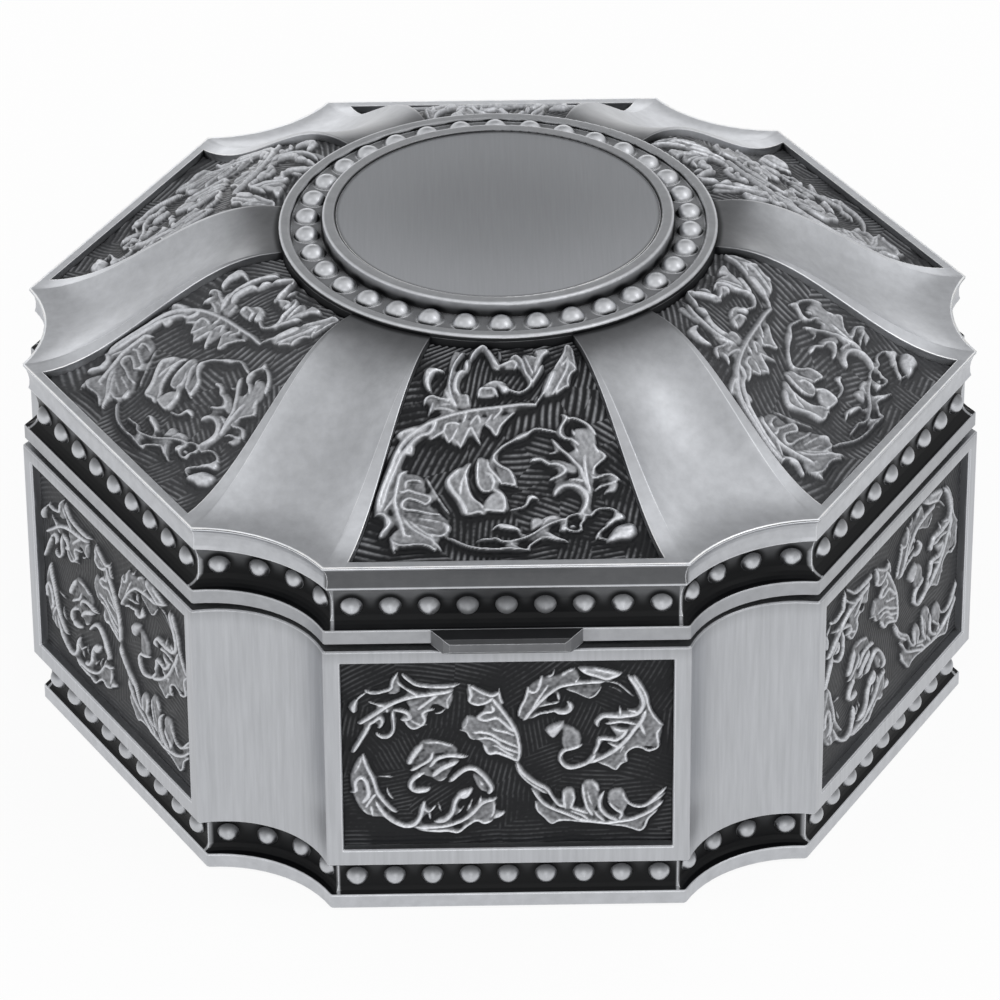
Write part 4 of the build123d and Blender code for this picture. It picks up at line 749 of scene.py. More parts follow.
def lidCoveWashAndShade(tree, place):
    # as on the plinth, with more wash and a painted shadow round the thumb lift
    clean = coveWashAndShade(tree, place, coveWall["lidCove"], coveWall["lidTone"])
    spot = addNode(tree, "ShaderNodeCombineXYZ",
                   links={0: place.outputs["X"], 1: place.outputs["Y"], 2: place.outputs["Z"]})
    away = addNode(tree, "ShaderNodeVectorMath", {"operation": "DISTANCE"}, {1: coveWall["liftPlace"]},
                   {0: spot.outputs[0]})
    washAndShadow = addNode(tree, "ShaderNodeMapRange", smooth, coveWashShade["liftShadow"],
                   {"Value": away.outputs["Value"]}).outputs[0]
    return addNode(tree, "ShaderNodeMath", product, links={0: clean, 1: washAndShadow}).outputs[0]


def fromAxis(tree, place):
    flat = addNode(tree, "ShaderNodeCombineXYZ", links={"X": place.outputs["X"], "Y": place.outputs["Y"]})
    reach = addNode(tree, "ShaderNodeVectorMath", {"operation": "LENGTH"}, links={0: flat.outputs[0]})
    return reach.outputs["Value"]


ringWashAndLight = {
    "channelFloor": {"From Min": 50.15 * mm, "From Max": 50.45 * mm, "To Min": 0.36, "To Max": 1.0},
    "innerLip": {"From Min": 17.0 * mm, "From Max": 17.15 * mm, "To Min": 1.0, "To Max": 0.0},
    "outerLip": {"From Min": 20.1 * mm, "From Max": 20.25 * mm},
    # painted highlights along the crests of both lips
    "innerCrestHighlight": {"From Min": 16.6 * mm, "From Max": 16.95 * mm},
    "innerCrestTop": {"From Min": 51.1 * mm, "From Max": 51.5 * mm},
    "outerCrestHighlight": {"From Min": 20.85 * mm, "From Max": 21.15 * mm},
    "lipTone": {"From Min": 0.0, "From Max": 1.0, "To Min": 1.0, "To Max": 0.55},
    # painted shade at the foot of the inner lip's wall
    "shadedWallFoot": {"From Min": 50.5 * mm, "From Max": 51.4 * mm, "To Min": 0.12, "To Max": 1.0},
    "wallInside": {"From Min": 16.9 * mm, "From Max": 17.0 * mm, "To Min": 1.0, "To Max": 0.0},
    "wallOutside": {"From Min": 17.1 * mm, "From Max": 17.2 * mm},
    # wash and a painted shadow under the outer lip
    "underLipShadow": {"From Min": 50.2 * mm, "From Max": 50.42 * mm, "To Min": 0.04, "To Max": 1.0},
    "outerWall": {"From Min": 21.1 * mm, "From Max": 21.2 * mm, "To Min": 1.0, "To Max": 0.0},
    # painted shadow where the ring meets the disc
    "discGrooveShadow": {"From Min": 15.85 * mm, "From Max": 16.0 * mm, "To Min": 0.1, "To Max": 1.0},
}


def ringPaintedLight(tree, place):
    # painted light: dull lips with painted highlights along their crests, a duller channel round its bright
    # beads, painted shade at the foot of the inner lip's wall, wash and a painted shadow under the outer lip,
    # and a painted shadow round the disc
    reach = fromAxis(tree, place)
    floor = addNode(tree, "ShaderNodeMapRange", smooth, ringWashAndLight["channelFloor"],
                    {"Value": place.outputs["Z"]}).outputs[0]
    inner = addNode(tree, "ShaderNodeMapRange", smooth, ringWashAndLight["innerLip"], {"Value": reach}).outputs[0]
    outer = addNode(tree, "ShaderNodeMapRange", smooth, ringWashAndLight["outerLip"], {"Value": reach}).outputs[0]
    lips = addNode(tree, "ShaderNodeMath", larger, links={0: inner, 1: outer}).outputs[0]
    channel = addNode(tree, "ShaderNodeMath", larger, links={0: floor, 1: lips}).outputs[0]
    lipTop = addNode(tree, "ShaderNodeMapRange", smooth, ringWashAndLight["innerCrestHighlight"], {"Value": reach}).outputs[0]
    highUp = addNode(tree, "ShaderNodeMapRange", smooth, ringWashAndLight["innerCrestTop"],
                     {"Value": place.outputs["Z"]}).outputs[0]
    innerCrestHighlight = addNode(tree, "ShaderNodeMath", product, links={0: lipTop, 1: highUp}).outputs[0]
    outerCrestHighlight = addNode(tree, "ShaderNodeMapRange", smooth, ringWashAndLight["outerCrestHighlight"],
                         {"Value": reach}).outputs[0]
    innerBare = addNode(tree, "ShaderNodeMath", product, links={0: innerCrestHighlight, 1: inner}).outputs[0]
    crest = addNode(tree, "ShaderNodeMath", larger, links={0: innerBare, 1: outerCrestHighlight}).outputs[0]
    lipTone = addNode(tree, "ShaderNodeMapRange", smooth, ringWashAndLight["lipTone"], {"Value": lips}).outputs[0]
    dull = addNode(tree, "ShaderNodeMath", larger, links={0: lipTone, 1: crest}).outputs[0]
    foot = addNode(tree, "ShaderNodeMapRange", smooth, ringWashAndLight["shadedWallFoot"],
                   {"Value": place.outputs["Z"]}).outputs[0]
    inWall = addNode(tree, "ShaderNodeMapRange", smooth, ringWashAndLight["wallInside"], {"Value": reach}).outputs[0]
    outWall = addNode(tree, "ShaderNodeMapRange", smooth, ringWashAndLight["wallOutside"],
                      {"Value": reach}).outputs[0]
    offWall = addNode(tree, "ShaderNodeMath", larger, links={0: inWall, 1: outWall}).outputs[0]
    footTone = addNode(tree, "ShaderNodeMath", larger, links={0: foot, 1: offWall}).outputs[0]
    dull = addNode(tree, "ShaderNodeMath", product, links={0: dull, 1: footTone}).outputs[0]
    under = addNode(tree, "ShaderNodeMapRange", smooth, ringWashAndLight["underLipShadow"],
                    {"Value": place.outputs["Z"]}).outputs[0]
    within = addNode(tree, "ShaderNodeMapRange", smooth, ringWashAndLight["outerWall"], {"Value": reach}).outputs[0]
    groove = addNode(tree, "ShaderNodeMapRange", smooth, ringWashAndLight["discGrooveShadow"], {"Value": reach}).outputs[0]
    wornAndShaded = addNode(tree, "ShaderNodeMath", product, links={0: channel, 1: dull}).outputs[0]
    grooved = addNode(tree, "ShaderNodeMath", product, links={0: wornAndShaded, 1: groove}).outputs[0]
    rim = addNode(tree, "ShaderNodeMath", larger, links={0: under, 1: within}).outputs[0]
    return addNode(tree, "ShaderNodeMath", product, links={0: grooved, 1: rim}).outputs[0]


discPaintedLight = {
    "edge": {"From Min": 15.3 * mm, "From Max": 15.75 * mm, "To Min": 1.0, "To Max": 0.2},
    "edgeSheen": {"From Min": 4 * mm, "From Max": 15.5 * mm, "To Min": 1.0, "To Max": 1.16},
    "front": {"From Min": -15 * mm, "From Max": 4 * mm, "To Min": 1.24, "To Max": 1.0},
}


def plateCornerShadow(tree, place):
    # painted shadow in the corner where the disc meets its ring
    reach = fromAxis(tree, place)
    return addNode(tree, "ShaderNodeMapRange", smooth, discPaintedLight["edge"], {"Value": reach}).outputs[0]


def plateSheen(tree, place):
    # painted reflection: lighter towards the edge of the disc, and towards the front
    reach = fromAxis(tree, place)
    edge = addNode(tree, "ShaderNodeMapRange", smooth, discPaintedLight["edgeSheen"], {"Value": reach}).outputs[0]
    front = addNode(tree, "ShaderNodeMapRange", smooth, discPaintedLight["front"],
                    {"Value": place.outputs["Y"]}).outputs[0]
    return addNode(tree, "ShaderNodeMath", product, links={0: edge, 1: front}).outputs[0]


shellShade = {
    # painted shadow of the ring round its foot, and painted shade on the heads of the flutes
    "foot": {"From Min": 21.5 * mm, "From Max": 22.0 * mm, "To Min": 0.15, "To Max": 1.0},
    "head": {"From Min": 22.3 * mm, "From Max": 25.0 * mm, "To Min": 0.8, "To Max": 1.0},
    "rimTop": {"From Min": 38.7 * mm, "From Max": 39.2 * mm},
    "rimBottom": {"From Min": 36.75 * mm, "From Max": 36.95 * mm, "To Min": 1.0, "To Max": 0.0},
    # the front face of the rim, painted dark
    "rimFront": {"From Min": -42.3 * mm, "From Max": -42.1 * mm},
    "rimEnd": {"From Min": 16.6 * mm, "From Max": 17.1 * mm},
    "rimShade": {"From Min": 0.0, "From Max": 1.0, "To Min": 0.2, "To Max": 1.0},
    # the back of the rim, painted bright
    "rimBackLight": {"From Min": 42.2 * mm, "From Max": 42.5 * mm, "To Min": 1.0, "To Max": 6.0},
}


def shellPaintedShade(tree, place):
    # painted light: the rim's front face is painted dark as a reflection and its back is painted bright, and
    # painted shade lies round the medallion, where the ring shades the flutes
    reach = fromAxis(tree, place)
    foot = addNode(tree, "ShaderNodeMapRange", smooth, shellShade["foot"], {"Value": reach}).outputs[0]
    head = addNode(tree, "ShaderNodeMapRange", smooth, shellShade["head"], {"Value": reach}).outputs[0]
    above = addNode(tree, "ShaderNodeMapRange", smooth, shellShade["rimTop"],
                    {"Value": place.outputs["Z"]}).outputs[0]
    below = addNode(tree, "ShaderNodeMapRange", smooth, shellShade["rimBottom"],
                    {"Value": place.outputs["Z"]}).outputs[0]
    behind = addNode(tree, "ShaderNodeMapRange", smooth, shellShade["rimFront"],
                     {"Value": place.outputs["Y"]}).outputs[0]
    sideways = addNode(tree, "ShaderNodeMath", {"operation": "ABSOLUTE"}, links={0: place.outputs["X"]})
    beyond = addNode(tree, "ShaderNodeMapRange", smooth, shellShade["rimEnd"],
                     {"Value": sideways.outputs[0]}).outputs[0]
    outsideBand = addNode(tree, "ShaderNodeMath", larger, links={0: above, 1: below}).outputs[0]
    outsideFace = addNode(tree, "ShaderNodeMath", larger, links={0: behind, 1: beyond}).outputs[0]
    off = addNode(tree, "ShaderNodeMath", larger, links={0: outsideBand, 1: outsideFace}).outputs[0]
    rim = addNode(tree, "ShaderNodeMapRange", smooth, shellShade["rimShade"], {"Value": off}).outputs[0]
    paintedBackLight = addNode(tree, "ShaderNodeMapRange", smooth, shellShade["rimBackLight"],
                         {"Value": place.outputs["Y"]}).outputs[0]
    top = addNode(tree, "ShaderNodeMath", product, links={0: foot, 1: head}).outputs[0]
    washed = addNode(tree, "ShaderNodeMath", product, links={0: top, 1: rim}).outputs[0]
    return addNode(tree, "ShaderNodeMath", product, links={0: washed, 1: paintedBackLight}).outputs[0]


shellPaintedShine = {
    "windowSlope": -0.3534,    # how a window's side edge runs in plan
    "stripStart": 0.475 * mm,
    "stripInside": {"From Min": 0.0, "From Max": 0.1 * mm},
    "stripOutside": {"From Min": 1.4 * mm, "From Max": 1.8 * mm, "To Min": 1.0, "To Max": 0.0},
    "byMedallion": {"From Min": 21.5 * mm, "From Max": 30 * mm, "To Min": 0.36, "To Max": 1.0},
    "byRim": {"From Min": 33 * mm, "From Max": 42 * mm},
    "aboveRim": {"From Min": 39.1 * mm, "From Max": 39.3 * mm},
    "rimShare": 0.26,
    "stripShare": 0.1,
}


def shellPaintedSheen(tree, place):
    # painted reflections: duller by the medallion and brighter by the rim, most of all on the strips beside
    # the windows
    reach = fromAxis(tree, place)
    away, across = foldPlan(tree, place)
    edge = addNode(tree, "ShaderNodeMath", {"operation": "MULTIPLY_ADD"}, {
        1: shellPaintedShine["windowSlope"], 2: shellPaintedShine["stripStart"],
    }, {0: away})
    beside = addNode(tree, "ShaderNodeMath", {"operation": "ADD"},
                     links={0: across, 1: edge.outputs[0]}).outputs[0]
    inside = addNode(tree, "ShaderNodeMapRange", smooth, shellPaintedShine["stripInside"],
                     {"Value": beside}).outputs[0]
    outside = addNode(tree, "ShaderNodeMapRange", smooth, shellPaintedShine["stripOutside"],
                      {"Value": beside}).outputs[0]
    strip = addNode(tree, "ShaderNodeMath", product, links={0: inside, 1: outside}).outputs[0]
    dull = addNode(tree, "ShaderNodeMapRange", smooth, shellPaintedShine["byMedallion"],
                   {"Value": reach}).outputs[0]
    out = addNode(tree, "ShaderNodeMapRange", smooth, shellPaintedShine["byRim"], {"Value": reach}).outputs[0]
    top = addNode(tree, "ShaderNodeMapRange", smooth, shellPaintedShine["aboveRim"],
                  {"Value": place.outputs["Z"]}).outputs[0]
    rim = addNode(tree, "ShaderNodeMath", product, links={0: out, 1: top}).outputs[0]
    rimStrip = addNode(tree, "ShaderNodeMath", product, links={0: strip, 1: rim}).outputs[0]
    bright = addNode(tree, "ShaderNodeMath", {"operation": "MULTIPLY_ADD"},
                     {1: shellPaintedShine["rimShare"], 2: 1.0}, {0: rim})
    brighter = addNode(tree, "ShaderNodeMath", {"operation": "MULTIPLY_ADD"},
                       {1: shellPaintedShine["stripShare"], 2: 1.0}, {0: rimStrip})
    glow = addNode(tree, "ShaderNodeMath", product,
                   links={0: bright.outputs[0], 1: brighter.outputs[0]}).outputs[0]
    return addNode(tree, "ShaderNodeMath", product, links={0: dull, 1: glow}).outputs[0]


castWearAndShade = {
    "bodyTopShade": {"From Min": 28.4 * mm, "From Max": 30.4 * mm, "To Min": 1.0, "To Max": 0.8},
    "flangeTop": {"From Min": 32.4 * mm, "From Max": 32.6 * mm, "To Min": 0.76, "To Max": 1.12},
    "liftTopShade": {"From Min": 0.3, "From Max": 0.9, "To Min": 0.3, "To Max": 0.03},
}


def bodyPaintedShade(tree, place):
    # painted shade: duller close under the lid
    return addNode(tree, "ShaderNodeMapRange", smooth, castWearAndShade["bodyTopShade"],
                   {"Value": place.outputs["Z"]}).outputs[0]


def galleryPolish(tree, place):
    # a duller flange, brighter beads
    return addNode(tree, "ShaderNodeMapRange", smooth, castWearAndShade["flangeTop"],
                   {"Value": place.outputs["Z"]}).outputs[0]


def liftPaintedShade(tree, place):
    # painted shade: the upward faces of the lift are black, and its front is rubbed half bare
    facing = addNode(tree, "ShaderNodeTexCoord")
    split = addNode(tree, "ShaderNodeSeparateXYZ", links={0: facing.outputs["Normal"]})
    return addNode(tree, "ShaderNodeMapRange", smooth, castWearAndShade["liftTopShade"],
                   {"Value": split.outputs["Z"]}).outputs[0]


def washedPewter(name, bright, reach, hollow, brush, washAndShadeMap=None, tones=(0.88, 1.07), paintedLightAndPolish=None,
                 edgeRound=metalFinish["edgeRound"]):
    # cast pewter, washed black and rubbed back: satin grey faces, black hollows, bright worn edges
    material, tree = newMaterial(name)
    texture = addNode(tree, "ShaderNodeTexCoord")
    place = addNode(tree, "ShaderNodeSeparateXYZ", links={0: texture.outputs["Object"]})
    edge = addNode(tree, "ShaderNodeBevel", {"samples": 8}, {"Radius": edgeRound})
    shape = addNode(tree, "ShaderNodeNewGeometry")
    alike = addNode(tree, "ShaderNodeVectorMath", {"operation": "DOT_PRODUCT"},
                    links={0: edge.outputs[0], 1: shape.outputs["Normal"]})
    nearby = addNode(tree, "ShaderNodeAmbientOcclusion", {"samples": 8}, {"Distance": reach})
    proud = addNode(tree, "ShaderNodeMapRange", smooth, metalFinish["proud"],
                    {"Value": nearby.outputs["AO"]}).outputs[0]
    cloud = addNode(tree, "ShaderNodeTexNoise", values={"Scale": metalFinish["cloudScale"], "Detail": 4},
                    links={"Vector": texture.outputs["Object"]})
    share = metalFinish["cloudShare"]
    uneven = addNode(tree, "ShaderNodeMapRange", values={"To Min": -share, "To Max": share},
                     links={"Value": cloud.outputs[0]})
    depth = addNode(tree, "ShaderNodeMath", {"operation": "ADD"},
                    links={0: nearby.outputs["AO"], 1: uneven.outputs["Result"]}).outputs[0]
    amount = addNode(tree, "ShaderNodeMapRange", smooth, {"From Min": hollow[0], "From Max": hollow[1]},
                     {"Value": depth}).outputs[0]
    wornWhere = proud
    # this map holds the wash together with painted shade and painted highlights
    if washAndShadeMap:
        kept = washAndShadeMap(tree, place)
        rest = addNode(tree, "ShaderNodeMath", {"operation": "MULTIPLY", "use_clamp": True},
                       links={0: amount, 1: kept})
        amount = rest.outputs[0]
        rubbable = addNode(tree, "ShaderNodeMapRange", smooth, metalFinish["keptEdge"],
                           {"Value": kept}).outputs[0]
        wornWhere = addNode(tree, "ShaderNodeMath", product, links={0: proud, 1: rubbable}).outputs[0]
    turned = addNode(tree, "ShaderNodeMapRange", smooth, metalFinish["edgeTurn"],
                     {"Value": alike.outputs["Value"]}).outputs[0]
    rubbed = addNode(tree, "ShaderNodeMath", product, links={0: turned, 1: wornWhere}).outputs[0]
    whole = addNode(tree, "ShaderNodeMath", larger, links={0: amount, 1: rubbed}).outputs[0]
    long = addNode(tree, "ShaderNodeMapping", values={"Scale": brush},
                   links={"Vector": texture.outputs["Object"]})
    strokes = addNode(tree, "ShaderNodeTexNoise", values={
        "Scale": metalFinish["strokeScale"], "Detail": 4, "Roughness": 0.6,
    }, links={"Vector": long.outputs["Vector"]})
    shade = addNode(tree, "ShaderNodeMapRange", values={
        "From Min": 0.25, "From Max": 0.75, "To Min": tones[0], "To Max": tones[1],
    }, links={"Value": strokes.outputs[0]})
    metal = addNode(tree, "ShaderNodeMix", {"data_type": "RGBA"},
                    {"A": linear(bright), "B": linear(metalFinish["wornEdge"])}, {"Factor": rubbed})
    lightness = shade.outputs["Result"]
    # a lightness map: painted light on the lid, the body and the disc
    if paintedLightAndPolish:
        lightScale = paintedLightAndPolish(tree, place)
        lightness = addNode(tree, "ShaderNodeMath", product, links={0: lightness, 1: lightScale}).outputs[0]
    tint = addNode(tree, "ShaderNodeVectorMath", {"operation": "SCALE"},
                   links={0: metal.outputs["Result"], "Scale": lightness})
    colour = addNode(tree, "ShaderNodeMix", {"data_type": "RGBA"}, {"A": linear(metalFinish["patina"])},
                     {"Factor": whole, "B": tint.outputs[0]})
    bump = addNode(tree, "ShaderNodeBump", values={"Strength": 0.1, "Distance": metalFinish["bumpDepth"]},
                   links={"Height": strokes.outputs[0], "Normal": edge.outputs[0]})
    metalShader(tree, colour.outputs["Result"], bump.outputs[0], whole)
    return material


def metalShader(tree, colour, normal, bare):
    # bare metal where it is rubbed, a rougher black film where the wash is left
    low, high = metalFinish["roughness"]
    roughness = addNode(tree, "ShaderNodeMapRange", values={"To Min": low, "To Max": high},
                        links={"Value": bare})
    shader = addNode(tree, "ShaderNodeBsdfPrincipled", values={"Specular IOR Level": metalFinish["shine"]},
                     links={"Base Color": colour, "Roughness": roughness.outputs["Result"],
                            "Normal": normal, "Metallic": bare})
    addNode(tree, "ShaderNodeOutputMaterial", links={"Surface": shader.outputs[0]})


def reliefPewter():
    # oxidised pewter with its high places rubbed bright: the map, which also holds painted shadow and shade,
    # says where
    material, tree = newMaterial("oxidisedReliefPewter")
    place = addNode(tree, "ShaderNodeTexCoord")
    wornAndShaded = addNode(tree, "ShaderNodeAttribute", {"attribute_name": "wearAndShade"})
    speck = addNode(tree, "ShaderNodeTexNoise",
                    values={"Scale": reliefFinish["speckScale"], "Detail": 4, "Roughness": 0.65},
                    links={"Vector": place.outputs["Object"]})
    span, tone = reliefFinish["speckSpan"], reliefFinish["speckTone"]
    grain = addNode(tree, "ShaderNodeMapRange", values={
        "From Min": span[0], "From Max": span[1], "To Min": tone[0], "To Max": tone[1],
    }, links={"Value": speck.outputs[0]})
    amount = addNode(tree, "ShaderNodeMath", {"operation": "MULTIPLY", "use_clamp": True},
                     links={0: wornAndShaded.outputs["Fac"], 1: grain.outputs["Result"]})
    colour = addNode(tree, "ShaderNodeMix", {"data_type": "RGBA"},
                     {"A": linear(reliefFinish["wash"]), "B": linear(reliefFinish["rubbed"])},
                     {"Factor": amount.outputs[0]})
    bump = addNode(tree, "ShaderNodeBump", values={"Strength": 0.25, "Distance": metalFinish["bumpDepth"]},
                   links={"Height": speck.outputs[0]})
    metalShader(tree, colour.outputs["Result"], bump.outputs[0], amount.outputs[0])
    return material


clothFinish = {
    # deep colour, colour of the tips, scale of the pile per metre
    "velvet": ("#3A0712", "#6E1A2B", 5200),
    "felt": ("#141416", "#2C2C30", 3600),
    "strokeScale": 90,         # the pile is stroked in patches of about 11 mm
    "strokeShare": (0.3, 0.7),
    "tipSpan": (0.12, 0.42),
    "pileDepth": 0.15 * mm,
    "roughness": 0.92,
    "sheen": (0.6, 0.4),       # how much, and how rough
}


def pileCloth(name, deep, tip, scale):
    # short cut pile: deep colour face on, paler where it turns away
    material, tree = newMaterial(name)
    place = addNode(tree, "ShaderNodeTexCoord")
    pile = addNode(tree, "ShaderNodeTexNoise", values={"Scale": scale, "Detail": 3},
                   links={"Vector": place.outputs["Object"]})
    brushed = addNode(tree, "ShaderNodeTexNoise", values={"Scale": clothFinish["strokeScale"], "Detail": 2},
                      links={"Vector": place.outputs["Object"]})
    low, high = clothFinish["strokeShare"]
    stroked = addNode(tree, "ShaderNodeMapRange", values={"To Min": low, "To Max": high},
                      links={"Value": brushed.outputs[0]})
    both = addNode(tree, "ShaderNodeMath", product,
                   links={0: pile.outputs[0], 1: stroked.outputs["Result"]}).outputs[0]
    low, high = clothFinish["tipSpan"]
    share = addNode(tree, "ShaderNodeMapRange", values={"From Min": low, "From Max": high},
                    links={"Value": both})
    colour = addNode(tree, "ShaderNodeMix", {"data_type": "RGBA"}, {"A": linear(deep), "B": linear(tip)},
                     {"Factor": share.outputs["Result"]})
    bump = addNode(tree, "ShaderNodeBump", values={"Strength": 0.5, "Distance": clothFinish["pileDepth"]},
                   links={"Height": pile.outputs[0]})
    sheen, sheenRoughness = clothFinish["sheen"]
    shader = addNode(tree, "ShaderNodeBsdfPrincipled", values={
        "Roughness": clothFinish["roughness"], "Sheen Weight": sheen, "Sheen Roughness": sheenRoughness,
        "Sheen Tint": linear(tip),
    }, links={"Base Color": colour.outputs["Result"], "Normal": bump.outputs[0]})
    addNode(tree, "ShaderNodeOutputMaterial", links={"Surface": shader.outputs[0]})
    return material


# brush scales are per metre along x, y and z: a stroke is long where its scale is low
lidMetal = washedPewter("satinCastPewter", metalFinish["pewter"], 1.4 * mm, (0.3, 0.72), (60, 60, 60),
                        shellPaintedShade, paintedLightAndPolish=shellPaintedSheen)
bodyMetal = washedPewter("uprightBrushedPewter", metalFinish["brushed"], 1.0 * mm, (0.25, 0.6), (170, 170, 9),
                         paintedLightAndPolish=bodyPaintedShade)
plinthMetal = washedPewter("beadedPlinthPewter", metalFinish["pewter"], 0.8 * mm, (0.02, 0.22), (60, 60, 60),
                           plinthWashAndShade)
galleryMetal = washedPewter("beadedLidPewter", metalFinish["pewter"], 0.8 * mm, (0.02, 0.22), (60, 60, 60),
                            lidCoveWashAndShade, paintedLightAndPolish=galleryPolish)
liftMetal = washedPewter("thumbLiftPewter", metalFinish["pewter"], 0.8 * mm, (0.2, 0.5), (60, 60, 60),
                         liftPaintedShade)
ringMetal = washedPewter("medallionRingPewter", metalFinish["ring"], 0.8 * mm, (0.52, 0.86), (60, 60, 60),
                         ringPaintedLight, edgeRound=metalFinish["ringRound"])
plateMetal = washedPewter("straightBrushedPewter", metalFinish["plate"], 0.4 * mm, (0.2, 0.5),
                          (420, 12, 420), plateCornerShadow, (0.95, 1.04), plateSheen)
hingeMetal = washedPewter("brushedHingeSteel", metalFinish["hinge"], 0.6 * mm, (0.2, 0.5), (10, 200, 200))
reliefMetal = reliefPewter()
velvet = pileCloth("burgundyVelvet", *clothFinish["velvet"])
felt = pileCloth("blackPressedFelt", *clothFinish["felt"])
finishes = {
    "body_frame": bodyMetal, "plinth": plinthMetal, "lid_gallery": galleryMetal, "lid_shell": lidMetal,
    "thumb_lift": liftMetal, "medallion_ring": ringMetal, "medallion_plate": plateMetal,
    "bottom_plate": plateMetal, "base_felt": felt, "wall_lining": velvet, "floor_pad": velvet,
    "lid_lining": velvet, "hinge_body_leaf": hingeMetal, "hinge_lid_leaf": hingeMetal,
    "hinge_pin": hingeMetal,
}
for name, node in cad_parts.items():
    material = finishes.get(name, reliefMetal)
    if node.data.materials:
        for i in range(len(node.data.materials)):
            node.data.materials[i] = material
    else:
        node.data.materials.append(material)
print("finishes on the cast parts")


# relief carving
sidePanel = {
    "halfWidth": 15.51 * mm,
    "halfHeight": 10.61 * mm,
    "middle": 18.12 * mm,      # height of the panel's centre
    "ground": 43.0 * mm,       # from the box's axis to the panel's ground
    "back": 42.4 * mm,
    "carve": 0.82 * mm,        # tallest carving above the ground
    "strandShare": 0.44,       # a strand's half width per unit of its listed width
    "hatchDepth": 0.1,
    "hatchTone": 0.06,
    "leafTone": 0.62,
    "columns": 330,
    "rows": 226,
}
lidPanel = {
    "foot": 42.6 * mm,         # from the lid's axis to the panel's lower edge
    "headRadius": 21.34 * mm,
    "domeFoot": 43.6 * mm,     # where the lid's sweep begins and ends
    "domeHead": 21.29 * mm,
    "sweepStart": 39.32 * mm,
    "sweepRise": 10.6 * mm,
    "ground": 0.9 * mm,        # below the lid's own face
    "back": 1.5 * mm,
    "carve": 1.12 * mm,
    "strandShare": 0.55,
    "hatchDepth": 0.14,
    "hatchTone": 0.24,
    "leafTone": 0.95,
    "footWidth": 14.58 * mm,
    "headWidth": 6.66 * mm,    # half widths of the window
    "headApothem": 20.19 * mm,
    "headEase": 0.4 * mm,      # the window's head widens by the taper over this much
    "lengthFrom": 42.65 * mm,  # where the length up the sweep is counted from
    "cell": 0.108,             # millimetres between two rows
    "nearEdge": 0.01 * mm,     # a vertex this close to a side edge is on it
    "headClear": 0.1 * mm,     # and this far inside the window's head and foot
    "footClear": 0.05 * mm,
    "sweepSteps": 4000,
    "columns": 240,
    "rows": 230,
}
carving = {                    # lengths in millimetres, the rest are shares of the full height or tone
    "seed": 11,
    "grainBlur": 0.1,
    "grainDepth": 0.012,
    "patchBlur": 1.1,
    "webBlur": 0.34,           # low metal between strands that run close together
    "webFrom": 0.25,
    "webHeight": 0.42,
    "webEdge": (0.24, 0.52),
    "softness": 0.1,           # a cast surface has no sharp lines
    "standBlur": 0.32,
    "standGain": 1.3,
    "standMost": 0.3,
    "washShadowBlur": 0.34,          # wash at the foot of each form, with a painted shadow below it
    "washShadowFrom": 0.28,
    "shadowDrop": 0.5,
    "washShadowAbove": 0.6,
    "washShadowGain": 2.2,
    "leafEdge": (0.1, 0.3),
    "strandTone": 0.9,
    "strandEdge": (0.3, 0.66),
    "lowerShadeBlur": 0.07,         # painted shade on what leans downhill
    "lowerShadeEdge": (0.45, 1.7),
    "lowerShadeLoss": 0.9,
    "smoothAngle": 62,         # degrees
}


def smoothPath(points, closed=False, step=0.22):
    # a smooth curve through listed points
    p = np.array(points, float)
    if closed:
        p = np.vstack([p[-1], p, p[0], p[1]])
    else:
        p = np.vstack([2 * p[0] - p[1], p, 2 * p[-1] - p[-2]])
    out = []
    for a, b, c, d in zip(p[:-3], p[1:-2], p[2:-1], p[3:]):
        n = max(2, int(np.hypot(*(c - b)) / step) + 1)
        t = np.linspace(0, 1, n, endpoint=False)[:, None]
        out.append(0.5 * (2 * b + (c - a) * t + (2 * a - 5 * b + 4 * c - d) * t ** 2
                          + (3 * b - a - 3 * c + d) * t ** 3))
    if not closed:
        out.append(p[-2][None])
    return np.vstack(out)


def carveRidge(field, x, y, height, radius, points):
    # a rounded strand along a path, thinner at its ends
    line = smoothPath(points)
    gone = np.concatenate([[0], np.cumsum(np.hypot(*np.diff(line, axis=0).T))])
    whole = gone[-1]
    for (a, b), s in zip(zip(line[:-1], line[1:]), gone[:-1]):
        end = min(1, (min(s, whole - s) + 0.28) / 0.75)
        r = radius * end ** 0.6
        nearAcross = (x > min(a[0], b[0]) - r) & (x < max(a[0], b[0]) + r)
        near = nearAcross & (y > min(a[1], b[1]) - r) & (y < max(a[1], b[1]) + r)
        if not near.any():
            continue
        px, py = x[near] - a[0], y[near] - a[1]
        dx, dy = b - a
        t = np.clip((px * dx + py * dy) / (dx * dx + dy * dy + 1e-12), 0, 1)
        share = np.clip(1 - ((px - t * dx) ** 2 + (py - t * dy) ** 2) / r ** 2, 0, 1)
        field[near] = np.maximum(field[near], height * end ** 0.4 * share ** 0.7)


